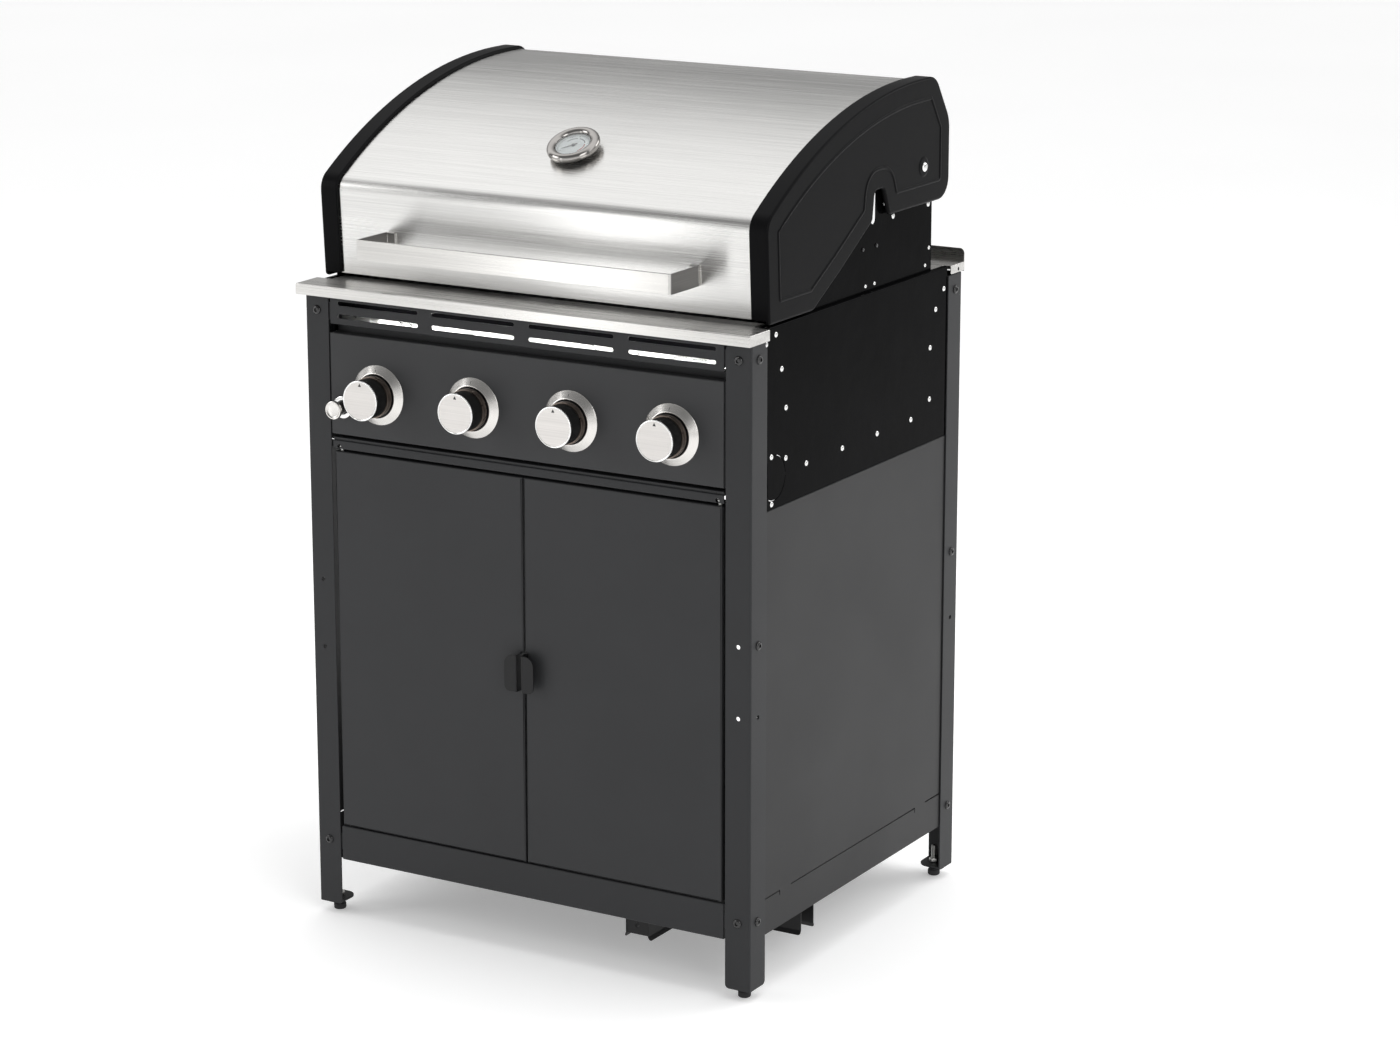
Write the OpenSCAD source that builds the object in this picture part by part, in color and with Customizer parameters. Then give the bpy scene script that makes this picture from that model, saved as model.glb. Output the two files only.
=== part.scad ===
// Gas barbecue grill: an angle-leg cabinet with two doors, four burners and a curved lid.
// Millimetres, +Z up. The origin is on the floor, in the middle of the whole footprint.
// The user stands on the -Y side. Inside this file Y = 0 is the middle of the leg frame,
// and centred() moves each finished piece onto the origin described above.

/* [Frame] */
// Width over the legs
frame_w = 720; // [700:1:740]
// Depth over the legs
frame_d = 610; // [604:1:616]
// Height of the front countertop
table_h = 930; // [926:1:934]
// Width of a leg's front or rear flange
leg_flange_x = 39; // [37:1:41]
// Width of a leg's side flange
leg_flange_y = 42; // [40:1:44]
// Sheet thickness of the legs
leg_t = 2; // [1.8:0.1:2.2]
// Sheet thickness of rails and panels
sheet = 1.5; // [1.4:0.1:1.6]
// Height of the lower edge of rails and side panels
skirt_z = 84.5; // [82:0.5:88]

/* [Front] */
// Distance between two neighbouring burners and knobs
burner_pitch = 158.6; // [156:0.2:160]
// Height of the knob axes
knob_z = 781; // [778:1:784]
// Length of one cooling slot
slot_len = 135.6; // [120:0.2:140]
// Height of one cooling slot
slot_h = 6; // [5:0.5:7]
// Lower edge of the control panel
panel_low = 717; // [715:1:719]
// Upper edge of the control panel
panel_high = 862; // [860:1:864]
// Lower edge of the doors
door_low = 138; // [138:0.5:142]
// Upper edge of the doors
door_high = 692; // [686:1:692]

/* [Controls] */
// Radius of a knob's face
knob_r = 28.5; // [27:0.5:29]
// Distance from the leg frame's front to a knob's face
knob_reach = 45; // [44:0.5:48]
// Outer radius of a knob's conical bezel
bezel_r = 42.5; // [41:0.5:43]
// Travel of a knob when pushed
knob_push = 3; // [2:0.5:4]
// Travel of the igniter button
igniter_push = 5; // [3:0.5:6]

/* [Lid] */
// Width of the black strip that each end cap shows from the front
cap_strip = 28; // [24:1:30]
// Gap between the lid and the countertop
lid_gap = 2; // [1:0.5:3]
// Half length of the handle
handle_half = 253; // [240:1:260]
// Height of the handle's bar
handle_h = 28; // [24:1:30]
// Radius of the thermometer's bezel
gauge_r = 38; // [34:1:40]

/* [Firebox] */
// Height of the cooking grates' top
grate_top = 920; // [916:1:922]
// Pitch of the grate bars
grate_pitch = 20; // [18:0.5:22]
// Outer radius of a burner tube
burner_r = 13; // [11:0.5:14]

/* [Hidden] */
$fn = 48;

half_w = frame_w / 2;
half_d = frame_d / 2;
lip_h = 15.5;                              // countertop's front lip
counter_over = 15;                         // countertop beyond the front of the legs
counter_side = 6;                          // countertop beyond the sides of the legs
shelf_over = 5;                            // rear shelf beyond the back of the legs
y_mid = (knob_reach - shelf_over) / 2;     // middle of the footprint to the middle of the frame

leg_low = 15.5;
leg_high = table_h - lip_h;
inner_x = half_w - leg_t;                  // inside of the side flanges
inner_y = half_d - leg_t;                  // inside of the front and rear flanges
front_face = -half_d + 0.5;                // front of the rails, between the legs
opening_half = half_w - leg_flange_x - 3;  // half width between the legs, less a gap

bolt_x = half_w - 19.5;                    // bolts on the front flanges
bolt_y = half_d - 20.5;                    // bolts on the side flanges
bolt_zs = [112, 892];                      // bolts in both flanges
side_bolt_z = 502;                         // extra bolt in the side flange
accessory_zs = [402, 502];                 // accessory holes in the front flanges
bolt_r = 3;
bolt_hole_r = 3.2;

top_t = 1.2;                               // sheet of the countertop and the rear shelf
foot_x = half_w - 20;
foot_y = half_d - 21;
stud_r = 4;
run_gap = 0.05;                            // running clearance of pins and shafts

burner_xs = [for (i = [-1.5 : 1 : 1.5]) i * burner_pitch];
wall_x = half_w - 10;                      // outer face of the firebox side walls
fire_front = -half_d + 70;                 // inner face of the firebox's front wall
fire_back = half_d - 84;                   // inner face of the firebox's rear wall
fire_low = 752;
lid_low = table_h + lid_gap;
hinge_y = 179;
hinge_z = table_h + 154;
hinge_bolt_r = 4;

pin_x = opening_half - 10;                 // door hinge axis
pin_y = -half_d + 9;
pin_r = 3;
door_edge = opening_half - 3;              // outer edge of a door
door_gap = 1.5;                            // half of the gap between the doors
door_t = 1.2;
door_return = 14;
pull_z = 416.5;
pull_h = 53;

igniter_x = -299;
igniter_z = knob_z - 24;

// ---------------------------------------------------------------- helpers

// Moves a piece from the leg frame's middle to the middle of the whole footprint
module centred() translate([0, y_mid, 0]) children();

// A box from its two corners
module block(low, high) translate(low) cube(high - low);

// Extrudes an outline drawn in the Y-Z plane along X
module along_x(x0, x1) translate([x0, 0, 0]) rotate([90, 0, 90]) linear_extrude(x1 - x0) children();

// Extrudes an outline drawn in the X-Z plane along Y
module along_y(y0, y1) translate([0, y1, 0]) rotate([90, 0, 0]) linear_extrude(y1 - y0) children();

// A cylinder along X or Y between two stations
module rod_x(r, x0, x1, y, z) translate([x0, y, z]) rotate([0, 90, 0]) cylinder(r = r, h = x1 - x0);
module rod_y(r, y0, y1, x, z) translate([x, y1, z]) rotate([90, 0, 0]) cylinder(r = r, h = y1 - y0);

// A solid of revolution about an axis that points to -Y; outline is [radius, distance to -Y]
module turned_y(x, y, z) translate([x, y, z]) rotate([90, 0, 0]) rotate_extrude($fn = 96) children();

// Copies a right-hand piece to the left or leaves it where it is: side is -1 or 1
module on_side(side) mirror([side < 0 ? 1 : 0, 0, 0]) children();

// Copies a front piece to the rear or leaves it where it is: end is -1 (front) or 1 (rear)
module on_end(end) mirror([0, end > 0 ? 1 : 0, 0]) children();

function unit(v) = v / norm(v);
function xy(c) = [c[0], c[1]];
function right_of(u) = [u.y, -u.x];

// One corner of a clockwise outline, moved inwards by d
function inset_corner(a, b, c, d) =
    let (n1 = right_of(unit(b - a)), n2 = right_of(unit(c - b)))
    b + d * (n1 + n2) / (1 + n1 * n2);

// Moves every corner [y, z, radius] of a clockwise outline inwards by d
function inset(cs, d) = [
    for (i = [0 : len(cs) - 1])
    let (n = len(cs),
         a = xy(cs[(i + n - 1) % n]),
         b = xy(cs[i]),
         c = xy(cs[(i + 1) % n]),
         bend = cross(b - a, c - b) < 0 ? -d : d,
         p = inset_corner(a, b, c, d))
    [p.x, p.y, cs[i][2] == 0 ? 0 : max(0.5, cs[i][2] + bend)]
];

// The arc that rounds corner b between a and c
function corner_arc(a, b, c, r) =
    r == 0 ? [b] :
    let (u = unit(b - a),
         w = unit(c - b),
         s = cross(u, w) < 0 ? -1 : 1,
         half = acos(u * w) / 2,
         n = -s * right_of(u),
         centre = b - r * tan(half) * u + r * n,
         g0 = atan2(-n.y, -n.x),
         steps = max(3, ceil(half / 5)))
    [for (k = [0 : steps]) let (g = g0 + s * 2 * half * k / steps) centre + r * [cos(g), sin(g)]];

function rounded(cs) = [
    for (i = [0 : len(cs) - 1])
    let (n = len(cs))
    each corner_arc(xy(cs[(i + n - 1) % n]), xy(cs[i]), xy(cs[(i + 1) % n]), cs[i][2])
];

// Points strictly between a and b on the arc with the given rise over their chord
function between(a, b, rise, count) =
    let (chord = norm(b - a),
         r = (chord * chord / 4 + rise * rise) / (2 * rise),
         u = unit(b - a),
         up = [-u.y, u.x],
         centre = (a + b) / 2 + (rise - r) * up,
         span = 2 * asin(chord / 2 / r))
    [for (i = [1 : count - 1])
        let (g = -span / 2 + span * i / count, p = centre + r * (sin(g) * u + cos(g) * up))
        [p.x, p.y, 0]];

// ---------------------------------------------------------------- lid outline

crown_start = [-250, lid_low + 148];
crown_end = [189, lid_low + 276];
crown_rise = 34;

// Front, crown and rear of the lid, clockwise from the front's lower corner
lid_arch = concat(
    [[-258, lid_low, 5], [-266, lid_low + 138, 28], [crown_start.x, crown_start.y, 0]],
    between(crown_start, crown_end, crown_rise, 16),
    [[crown_end.x, crown_end.y, 0],
     [216.6, lid_low + 276, 30],
     [260, lid_low + 211, 45]]);

// The end cap's whole outline, with the spit notch and the slanted lower edge
cap_outline = concat(lid_arch, [
    [260, lid_low + 98, 30], [78, lid_low + 98, 10], [62, lid_low + 138, 9],
    [36, lid_low + 138, 9], [30, lid_low + 97, 8], [-62, lid_low + 42, 40], [-138, lid_low, 14]]);

// The lid's cross-section with a plain bottom
shell_outline = concat(lid_arch, [[260, lid_low, 0]]);

rear_edge_z = lid_low + 129;               // lower rear edge of the lid's sheet
skin_inset = 5;
skin_t = 1.2;
rim_t = 2;
front_band = -half_d + 59;                 // bands run down the front no further back than this

// The part of a lid section that the lid's sheet and the cap's deep rim occupy
module arch_zone(low) {
    polygon([[-half_d, lid_low - 5], [front_band, lid_low - 5], [front_band, low], [half_d, low],
             [half_d, lid_low + 400], [-half_d, lid_low + 400]]);
}

// A band of the lid's section between two insets
module arch_band(inner, outer, low) {
    intersection() {
        difference() {
            polygon(rounded(inset(shell_outline, outer)));
            polygon(rounded(inset(shell_outline, inner)));
        }
        arch_zone(low);
    }
}

// Y of the lid's front sheet at height z, on its outer face
function skin_front(z) = -258 - 8 * (z - lid_low) / 138 + skin_inset;

// ---------------------------------------------------------------- legs and feet

// One leg, drawn as the front right one; a front leg clears the rivet beside its upper end
module leg(is_front) {
    difference() {
        union() {
            along_y(-half_d, -inner_y)
                polygon(rounded([[half_w - leg_flange_x, leg_low, 6], [half_w - leg_flange_x, leg_high, 10],
                                 [half_w, leg_high, 0], [half_w, leg_low, 0]]));
            along_x(inner_x, half_w)
                polygon(rounded([[-half_d, leg_low, 0], [-half_d, leg_high, 0],
                                 [-half_d + leg_flange_y, leg_high, 3],
                                 [-half_d + leg_flange_y, leg_low, 6]]));
            foot_plate();
        }
        for (z = concat(bolt_zs, accessory_zs)) rod_y(bolt_hole_r, -half_d - 1, -inner_y + 1, bolt_x, z);
        for (z = concat(bolt_zs, [side_bolt_z, accessory_zs[0]]))
            rod_x(bolt_hole_r, inner_x - 1, half_w + 1, -bolt_y, z);
        translate([foot_x, -foot_y, leg_low]) cylinder(r = stud_r + run_gap, h = 12);
        if (is_front) rod_x(rivet_head_r + 0.5, inner_x - 1, half_w + 1, corner_rivet[0], corner_rivet[1]);
    }
}

// The plate inside a leg's lower end that the levelling foot screws into
module foot_plate() {
    plate_t = 2.5;
    translate([0, 0, leg_low + 2])
        linear_extrude(plate_t)
            polygon(rounded([[half_w - leg_flange_x, -inner_y - 0.2, 0],
                             [half_w - leg_flange_x, -half_d + leg_flange_y, 18],
                             [inner_x + 0.2, -half_d + leg_flange_y, 0],
                             [inner_x + 0.2, -inner_y - 0.2, 0]]));
}

// A rubber pad on a threaded stud with its lock nut above the foot plate
module foot() {
    pad_h = 11;
    nut_z = leg_low + 5;
    translate([foot_x, -foot_y, 0]) {
        rotate_extrude()
            polygon([[0, 0], [8, 0], [9, 1], [9, pad_h - 2], [7.5, pad_h], [0, pad_h]]);
        cylinder(r = stud_r, h = 46);
        translate([0, 0, nut_z]) cylinder(r = 7.5, h = 6, $fn = 6);
    }
}

module leg_front_left() color("#2b2c2e") centred() on_side(-1) leg(true);
module leg_front_right() color("#2b2c2e") centred() leg(true);
module leg_rear_left() color("#2b2c2e") centred() on_side(-1) on_end(1) leg(false);
module leg_rear_right() color("#2b2c2e") centred() on_end(1) leg(false);
module foot_front_left() color("#151515") centred() on_side(-1) foot();
module foot_front_right() color("#151515") centred() foot();
module foot_rear_left() color("#151515") centred() on_side(-1) on_end(1) foot();
module foot_rear_right() color("#151515") centred() on_end(1) foot();

// ---------------------------------------------------------------- front rails

vent_low = 874;
recess_y = front_face + 18;

// A folded rail across the front: face, upper and lower return
module front_rail(low, high, depth) {
    block([-opening_half, front_face, low], [opening_half, front_face + sheet, high]);
    block([-opening_half, front_face + sheet, high - sheet], [opening_half, front_face + depth, high]);
    block([-opening_half, front_face + sheet, low], [opening_half, front_face + depth, low + sheet]);
}

// Ears that reach behind the legs' front flanges at height z, with their bolt holes
module rail_ears(z) {
    for (side = [-1, 1]) on_side(side) difference() {
        block([opening_half - 12, -inner_y, z - 12], [inner_x - 4, -inner_y + sheet, z + 12]);
        rod_y(bolt_hole_r, -half_d, -inner_y + 4, bolt_x, z);
    }
}

// One cooling slot with round ends
module slot(x, z) {
    for (e = [-1, 1]) rod_y(slot_h / 2, front_face - 1, front_face + 3, x + e * (slot_len - slot_h) / 2, z);
    block([x - (slot_len - slot_h) / 2, front_face - 1, z - slot_h / 2],
          [x + (slot_len - slot_h) / 2, front_face + 3, z + slot_h / 2]);
}

// The strip with two rows of cooling slots, and the recess below it
module vent_rail() color("#2b2c2e") centred() {
    slot_row_top = leg_high - 10.5;
    slot_row_pitch = 18;
    difference() {
        union() {
            block([-opening_half, front_face, vent_low], [opening_half, front_face + sheet, leg_high - 1]);
            rail_ears(bolt_zs[1]);
        }
        for (x = burner_xs, row = [0, 1]) slot(x, slot_row_top - row * slot_row_pitch);
    }
    block([-opening_half, front_face + sheet, vent_low], [opening_half, recess_y, vent_low + sheet]);
    block([-opening_half, recess_y, panel_high - 8], [opening_half, recess_y + sheet, vent_low + sheet]);
}

// The panel that carries the knobs and the igniter, with a strip behind each leg's flange
module control_panel() color("#2e2f31") centred() {
    face = front_face - 1;
    stem_hole_r = 10;
    strip_in = opening_half - 6;
    strip_out = opening_half + 15;
    difference() {
        union() {
            block([-opening_half, face, panel_low], [opening_half, face + sheet, panel_high]);
            block([-opening_half, face + sheet, panel_high - sheet],
                  [opening_half, recess_y - 0.5, panel_high]);
            block([-opening_half, face + sheet, panel_low], [opening_half, face + 15, panel_low + sheet]);
        }
        for (x = burner_xs) rod_y(stem_hole_r, face - 1, face + 4, x, knob_z);
        rod_y(igniter_bore_r + 0.8, face - 1, face + 4, igniter_x, igniter_z);
    }
    for (side = [-1, 1]) on_side(side) {
        block([strip_in, face + sheet, panel_low], [strip_in + 2, face + sheet + 3, panel_high]);
        block([strip_in + 2, face + sheet + 1.5, panel_low], [strip_out, face + sheet + 3, panel_high]);
    }
}

// The rail between the control panel and the doors; its lower return holds the upper hinge pins,
// and a flange behind each return covers the gap next to it
module header_rail() color("#2b2c2e") centred() {
    low = door_high + 3.5;
    lip = panel_low - 7;
    depth = 20;
    rear = front_face + depth;
    difference() {
        front_rail(low, lip - 2, depth);
        for (side = [-1, 1]) translate([side * pin_x, pin_y, low - 1]) cylinder(r = pin_r + 0.1, h = 5);
    }
    block([-opening_half, front_face + 4, lip - 2], [opening_half, front_face + 4 + sheet, lip]);
    block([-opening_half, front_face, lip], [opening_half, front_face + 12, lip + 2.5]);
    block([-opening_half, rear - sheet, lip - 2 - sheet], [opening_half, rear, panel_low + 7]);
    block([-opening_half, rear - sheet, low - 11.5], [opening_half, rear, low + sheet]);
}

// The rail under the doors; its upper return holds the lower hinge pins
module lower_front_rail() color("#2b2c2e") centred() {
    high = door_low - 2;
    difference() {
        union() {
            front_rail(skirt_z, high, 20);
            rail_ears(bolt_zs[0]);
        }
        for (side = [-1, 1]) translate([side * pin_x, pin_y, high - 4]) cylinder(r = pin_r + 0.1, h = 6);
    }
}

// Two braces between the rear legs, one at the skirt and one under the rear shelf
module rear_rails() color("#2b2c2e") centred() {
    brace_h = 50;
    for (low = [skirt_z, leg_high - 1 - brace_h]) {
        z = low == skirt_z ? bolt_zs[0] : bolt_zs[1];
        difference() {
            block([-inner_x + 4, inner_y - sheet, low], [inner_x - 4, inner_y, low + brace_h]);
            for (side = [-1, 1]) rod_y(bolt_hole_r, inner_y - 4, half_d, side * bolt_x, z);
        }
    }
}

// ---------------------------------------------------------------- side panels

seam_z = 681;

// The large lower panel between two legs: folded at the slits near its skirt, a strip behind its seam
module side_panel() {
    slit = 1.6;
    slit_z = skirt_z + 50.5;
    reach = inner_y - 6;
    joint_half = 262;
    joint_t = 1.2;
    slits = [[-half_d + 44, -218], [-187, 184], [216, half_d - 44]];
    difference() {
        block([inner_x - sheet, -reach, skirt_z], [inner_x, reach, seam_z - 1]);
        for (s = slits) block([inner_x - 4, s[0], slit_z], [inner_x + 1, s[1], slit_z + slit]);
        for (y = [-218, 184]) block([inner_x - 4, y - slit, slit_z - 6], [inner_x + 1, y, slit_z + slit]);
        for (end = [-1, 1], z = [bolt_zs[0], accessory_zs[0], side_bolt_z])
            rod_x(bolt_hole_r, inner_x - 4, inner_x + 1, end * bolt_y, z);
    }
    block([inner_x - sheet - joint_t - 0.1, -joint_half, seam_z - 17],
          [inner_x - sheet, joint_half, seam_z - 2]);
    block([inner_x - sheet - joint_t - 0.1, -joint_half, seam_z - 2],
          [inner_x - sheet - 0.1, joint_half, seam_z + 3.5]);
}

corner_rivet = [-half_d + leg_flange_y, leg_high - 6.5];
rivet_yz = [
    corner_rivet, [-209, 744], [-209, 813], [-221, 868], [-237, 917], [-248, 753], [-247, 688],
    [-152, 725], [-50, 725], [52, 725], [154, 725],
    [211, 744], [211, 819], [227, 872], [252, 898]
];
rivet_r = 2.4;
rivet_head_r = 4;

// The riveted panel that closes the firebox's side, with a flange on top
module upper_panel() {
    reach = inner_y - 6;
    difference() {
        union() {
            block([inner_x - sheet, -reach, seam_z], [inner_x, reach, table_h - 1]);
            block([wall_x + 0.1, fire_front - 30, table_h - 1 - sheet],
                  [inner_x - 0.5, half_d - 43, table_h - 1]);
        }
        for (end = [-1, 1]) rod_x(bolt_hole_r, inner_x - 4, inner_x + 1, end * bolt_y, bolt_zs[1]);
        for (p = rivet_yz) rod_x(rivet_r + 0.1, inner_x - 4, inner_x + 1, p[0], p[1]);
        for (end = [-1, 1]) on_end(end)
            block([inner_x - 4, -half_d, leg_high + 0.5], [inner_x + 1, -half_d + leg_flange_y + 1, table_h]);
    }
}

// Domed rivet heads on both upper panels, each with its shank
module panel_rivets() color("#d8d8d8") centred() {
    head_h = 1.8;
    for (side = [-1, 1], p = rivet_yz) on_side(side) translate([inner_x, p[0], p[1]]) rotate([0, 90, 0]) {
        rotate_extrude($fn = 24)
            polygon([[0, 0], [rivet_head_r, 0], [rivet_head_r * 0.8, head_h * 0.7], [0, head_h]]);
        translate([0, 0, -3]) cylinder(r = rivet_r, h = 3.2, $fn = 24);
    }
}

module side_panel_left() color("#303133") centred() on_side(-1) side_panel();
module side_panel_right() color("#303133") centred() side_panel();
module upper_panel_left() color("#0c0c0d") centred() on_side(-1) upper_panel();
module upper_panel_right() color("#0c0c0d") centred() upper_panel();

// ---------------------------------------------------------------- firebox

rack_hole_r = 3;
rack_ys = [18.6, 58.4];
rack_z = 990;
spit_y = 49;
ear_r = 20;

// A side wall of the firebox: it rises inside the lid as a slotted post for a spit and an ear for the hinge
module firebox_side() {
    top = lid_low + 108;
    post_back = 31;
    post_front = 57;
    post_top = top + 38;
    rear = 226;
    difference() {
        along_x(wall_x - sheet, wall_x) {
            polygon(rounded([
                [fire_front - 8, fire_low, 0], [fire_front - 8, table_h + 12, 10], [-60, table_h + 50, 20],
                [spit_y - post_front, top - 24, 6], [spit_y - post_front, post_top, 6],
                [spit_y + post_back, post_top, 6], [spit_y + post_back, top, 6],
                [hinge_y - 40, top, 20], [hinge_y - ear_r, hinge_z, 0],
                [hinge_y + ear_r, hinge_z, 0], [rear, top - 9, 6], [rear, fire_low, 0]]));
            translate([hinge_y, hinge_z]) circle(r = ear_r);
        }
        rod_x(hinge_bolt_r + run_gap, wall_x - 4, wall_x + 1, hinge_y, hinge_z);
        for (y = rack_ys) rod_x(rack_hole_r + 0.2, wall_x - 4, wall_x + 1, y, rack_z);
        rod_x(7, wall_x - 4, wall_x + 1, spit_y, top - 12);
        block([wall_x - 4, spit_y - 7, top - 12], [wall_x + 1, spit_y + 7, post_top + 2]);
    }
}

module firebox_side_left() color("#101011") centred() on_side(-1) firebox_side();
module firebox_side_right() color("#101011") centred() firebox_side();

ledge_z = grate_top - 14;

// The bright front wall, with a burner port each and a ledge for the grates
module firebox_front() color("#b9b9b6") centred() {
    reach = wall_x - sheet - 0.3;
    difference() {
        block([-reach, fire_front - sheet, fire_low], [reach, fire_front, table_h - top_t]);
        for (x = burner_xs) rod_y(burner_r + 1, fire_front - 4, fire_front + 1, x, knob_z);
    }
    block([-reach, fire_front, ledge_z - sheet], [reach, fire_front + 9, ledge_z]);
}

// The rear wall: it ends below the path of the lid's rear edge
module firebox_back() color("#1c1c1d") centred() {
    reach = wall_x - sheet - 0.3;
    block([-reach, fire_back, fire_low], [reach, fire_back + sheet, table_h + 50]);
    block([-reach, fire_back - 9, ledge_z - sheet], [reach, fire_back, ledge_z]);
}

tray_half = 150;
tray_low = 706;
tray_high = 730;
tray_front = -180;
tray_back = 215;

// The sloping floor with its middle opening, and the two runners that carry the grease tray
module firebox_floor() color("#1c1c1d") centred() {
    reach = wall_x - sheet - 0.3;
    mouth = 60;
    drop = 14;
    runner_z = tray_low - 0.4;
    along_x(-reach, reach)
        for (end = [-1, 1]) {
            wall = end < 0 ? fire_front - 2 : fire_back + 2;
            polygon([[wall, fire_low - 0.5], [end * mouth, fire_low - drop],
                     [end * mouth, fire_low - drop - 2], [wall, fire_low - 2.5]]);
        }
    for (side = [-1, 1]) on_side(side) {
        block([tray_half + 11, tray_front, runner_z - 1.5], [tray_half + 12.5, tray_back, fire_low - 16]);
        block([tray_half - 6, tray_front, runner_z - 1.5], [tray_half + 11, tray_back, runner_z]);
        block([reach - 20, -mouth, fire_low - drop - 2], [reach, mouth, fire_low - drop]);
        block([tray_half + 11, -mouth - 20, fire_low - drop - 2], [reach, mouth + 20, fire_low - drop - 0.5]);
    }
}

// Four tube burners with two rows of ports each; the mouths take the valves' jets
module burners() color("#9d9d9a") centred() {
    tube_t = 1.2;
    port_pitch = 28;
    mouth_y = fire_front - 24;
    end_y = fire_back - 20;
    for (x = burner_xs) difference() {
        union() {
            rod_y(burner_r, mouth_y, end_y, x, knob_z);
            rod_y(burner_r + 3, fire_front + 2, fire_front + 6, x, knob_z);
        }
        rod_y(burner_r - tube_t, mouth_y - 1, end_y - 2, x, knob_z);
        for (y = [fire_front + 40 : port_pitch : end_y - 20], tilt = [-40, 40])
            translate([x, y, knob_z]) rotate([0, tilt, 0]) cylinder(r = 1.6, h = burner_r + 2, $fn = 16);
    }
}

// A bent roof over each burner, on small end feet
module flame_tamers() color("#8f8f8c") centred() {
    half = 42;
    rise = 30;
    eave = knob_z + 36;
    for (x = burner_xs) translate([x, 0, 0]) {
        along_y(fire_front + 14, fire_back - 14)
            polygon([[-half, eave], [0, eave + rise], [half, eave], [half, eave - 6], [half - 1.2, eave - 6],
                     [half - 1.2, eave - 1], [0, eave + rise - 1.6], [-half + 1.2, eave - 1],
                     [-half + 1.2, eave - 6], [-half, eave - 6]]);
        for (y = [fire_front + 0.3, fire_back - 14.1])
            block([-30, y, eave + 4], [30, y + 13.8, eave + 5.5]);
    }
}

valve_y = -half_d + 31;
manifold_z = knob_z - 24;

// The gas pipe under the valves, closed at the left, with the hose inlet at the right
module manifold() color("#6f6f6c") centred() {
    pipe_r = 9;
    left = burner_xs[0] - 22;
    right = burner_xs[3] + 50;
    rod_x(pipe_r, left, right, valve_y, manifold_z);
    for (x = burner_xs) translate([x, valve_y, manifold_z + 6]) cylinder(r = 8, h = 6.9);
    translate([right - 9, valve_y, manifold_z - 34]) {
        cylinder(r = 8, h = 34);
        translate([0, 0, -8]) cylinder(r = 10, h = 10, $fn = 6);
        translate([0, 0, -32]) cylinder(r = 4.5, h = 26);
    }
}

// A valve body for each burner, bored for its stem, with a jet that points into the burner
module gas_valves() color("#b49a5a") centred() {
    for (x = burner_xs) difference() {
        union() {
            block([x - 12, valve_y - 14, knob_z - 11], [x + 12, valve_y + 14, knob_z + 11]);
            rod_y(9, valve_y - 20, valve_y - 13, x, knob_z);
            rod_y(5, valve_y + 13, fire_front - 18, x, knob_z);
        }
        rod_y(stem_r + run_gap, valve_y - 21, valve_y + 6, x, knob_z);
    }
}

// ---------------------------------------------------------------- cooking surface

// One cast grate, drawn for the right half
module grate() {
    low = ledge_z + 0.1;
    x0 = 1.5;
    x1 = wall_x - sheet - 4;
    y0 = fire_front + 2;
    y1 = fire_back - 2;
    bar_w = 7;
    frame_bar = 9;
    bars = floor((x1 - x0 - frame_bar) / grate_pitch) - 1;
    step = (x1 - x0 - frame_bar) / (bars + 1);
    difference() {
        block([x0, y0, low], [x1, y1, grate_top - 2]);
        block([x0 + frame_bar, y0 + frame_bar, low - 1], [x1 - frame_bar, y1 - frame_bar, grate_top]);
    }
    for (i = [1 : bars])
        along_y(y0 + 4, y1 - 4)
            translate([x0 + frame_bar / 2 + i * step, 0])
                polygon([[-bar_w / 2, low + 1], [-bar_w / 2, grate_top - 3], [-1.5, grate_top],
                         [1.5, grate_top], [bar_w / 2, grate_top - 3], [bar_w / 2, low + 1]]);
    for (y = [-80, 60]) block([x0 + 2, y - 3, low + 0.5], [x1 - 2, y + 3, grate_top - 5]);
}

module cooking_grate_left() color("#1a1a1a") centred() on_side(-1) grate();
module cooking_grate_right() color("#1a1a1a") centred() grate();

// The wire rack above the grates: two of its wires pass through the side walls
module warming_rack() color("#c9c9c9") centred() {
    wire_r = 2;
    bar_half = 2;
    bar_low = rack_z - 6;
    bar_high = rack_z - 1;
    first = rack_ys[0] - 7;
    last = 148;
    for (y = rack_ys) rod_x(rack_hole_r, -wall_x - 3, wall_x + 3, y, rack_z);
    for (y = [38.5, 79, 100, 121, 142]) rod_x(wire_r, -wall_x + 8, wall_x - 8, y, rack_z);
    for (x = [-wall_x + 14, -120, 120, wall_x - 14])
        block([x - bar_half, first, bar_low], [x + bar_half, last, bar_high]);
}

// ---------------------------------------------------------------- tops

// The stainless countertop: a folded strip that overhangs the front and both sides
module countertop() color("#c8c8c5") centred() {
    x1 = half_w + counter_side;
    y0 = -half_d - counter_over;
    y1 = -half_d + 38;
    block([-x1, y0, table_h - top_t], [x1, y1, table_h]);
    block([-x1, y0, leg_high], [x1, y0 + top_t, table_h - top_t]);
    for (side = [-1, 1]) on_side(side)
        block([x1 - top_t, y0 + top_t, leg_high], [x1, y1, table_h - top_t]);
    block([-wall_x + 8, y1, table_h - top_t], [wall_x - 8, fire_front, table_h]);
}

shelf_top = table_h - top_t;

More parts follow.
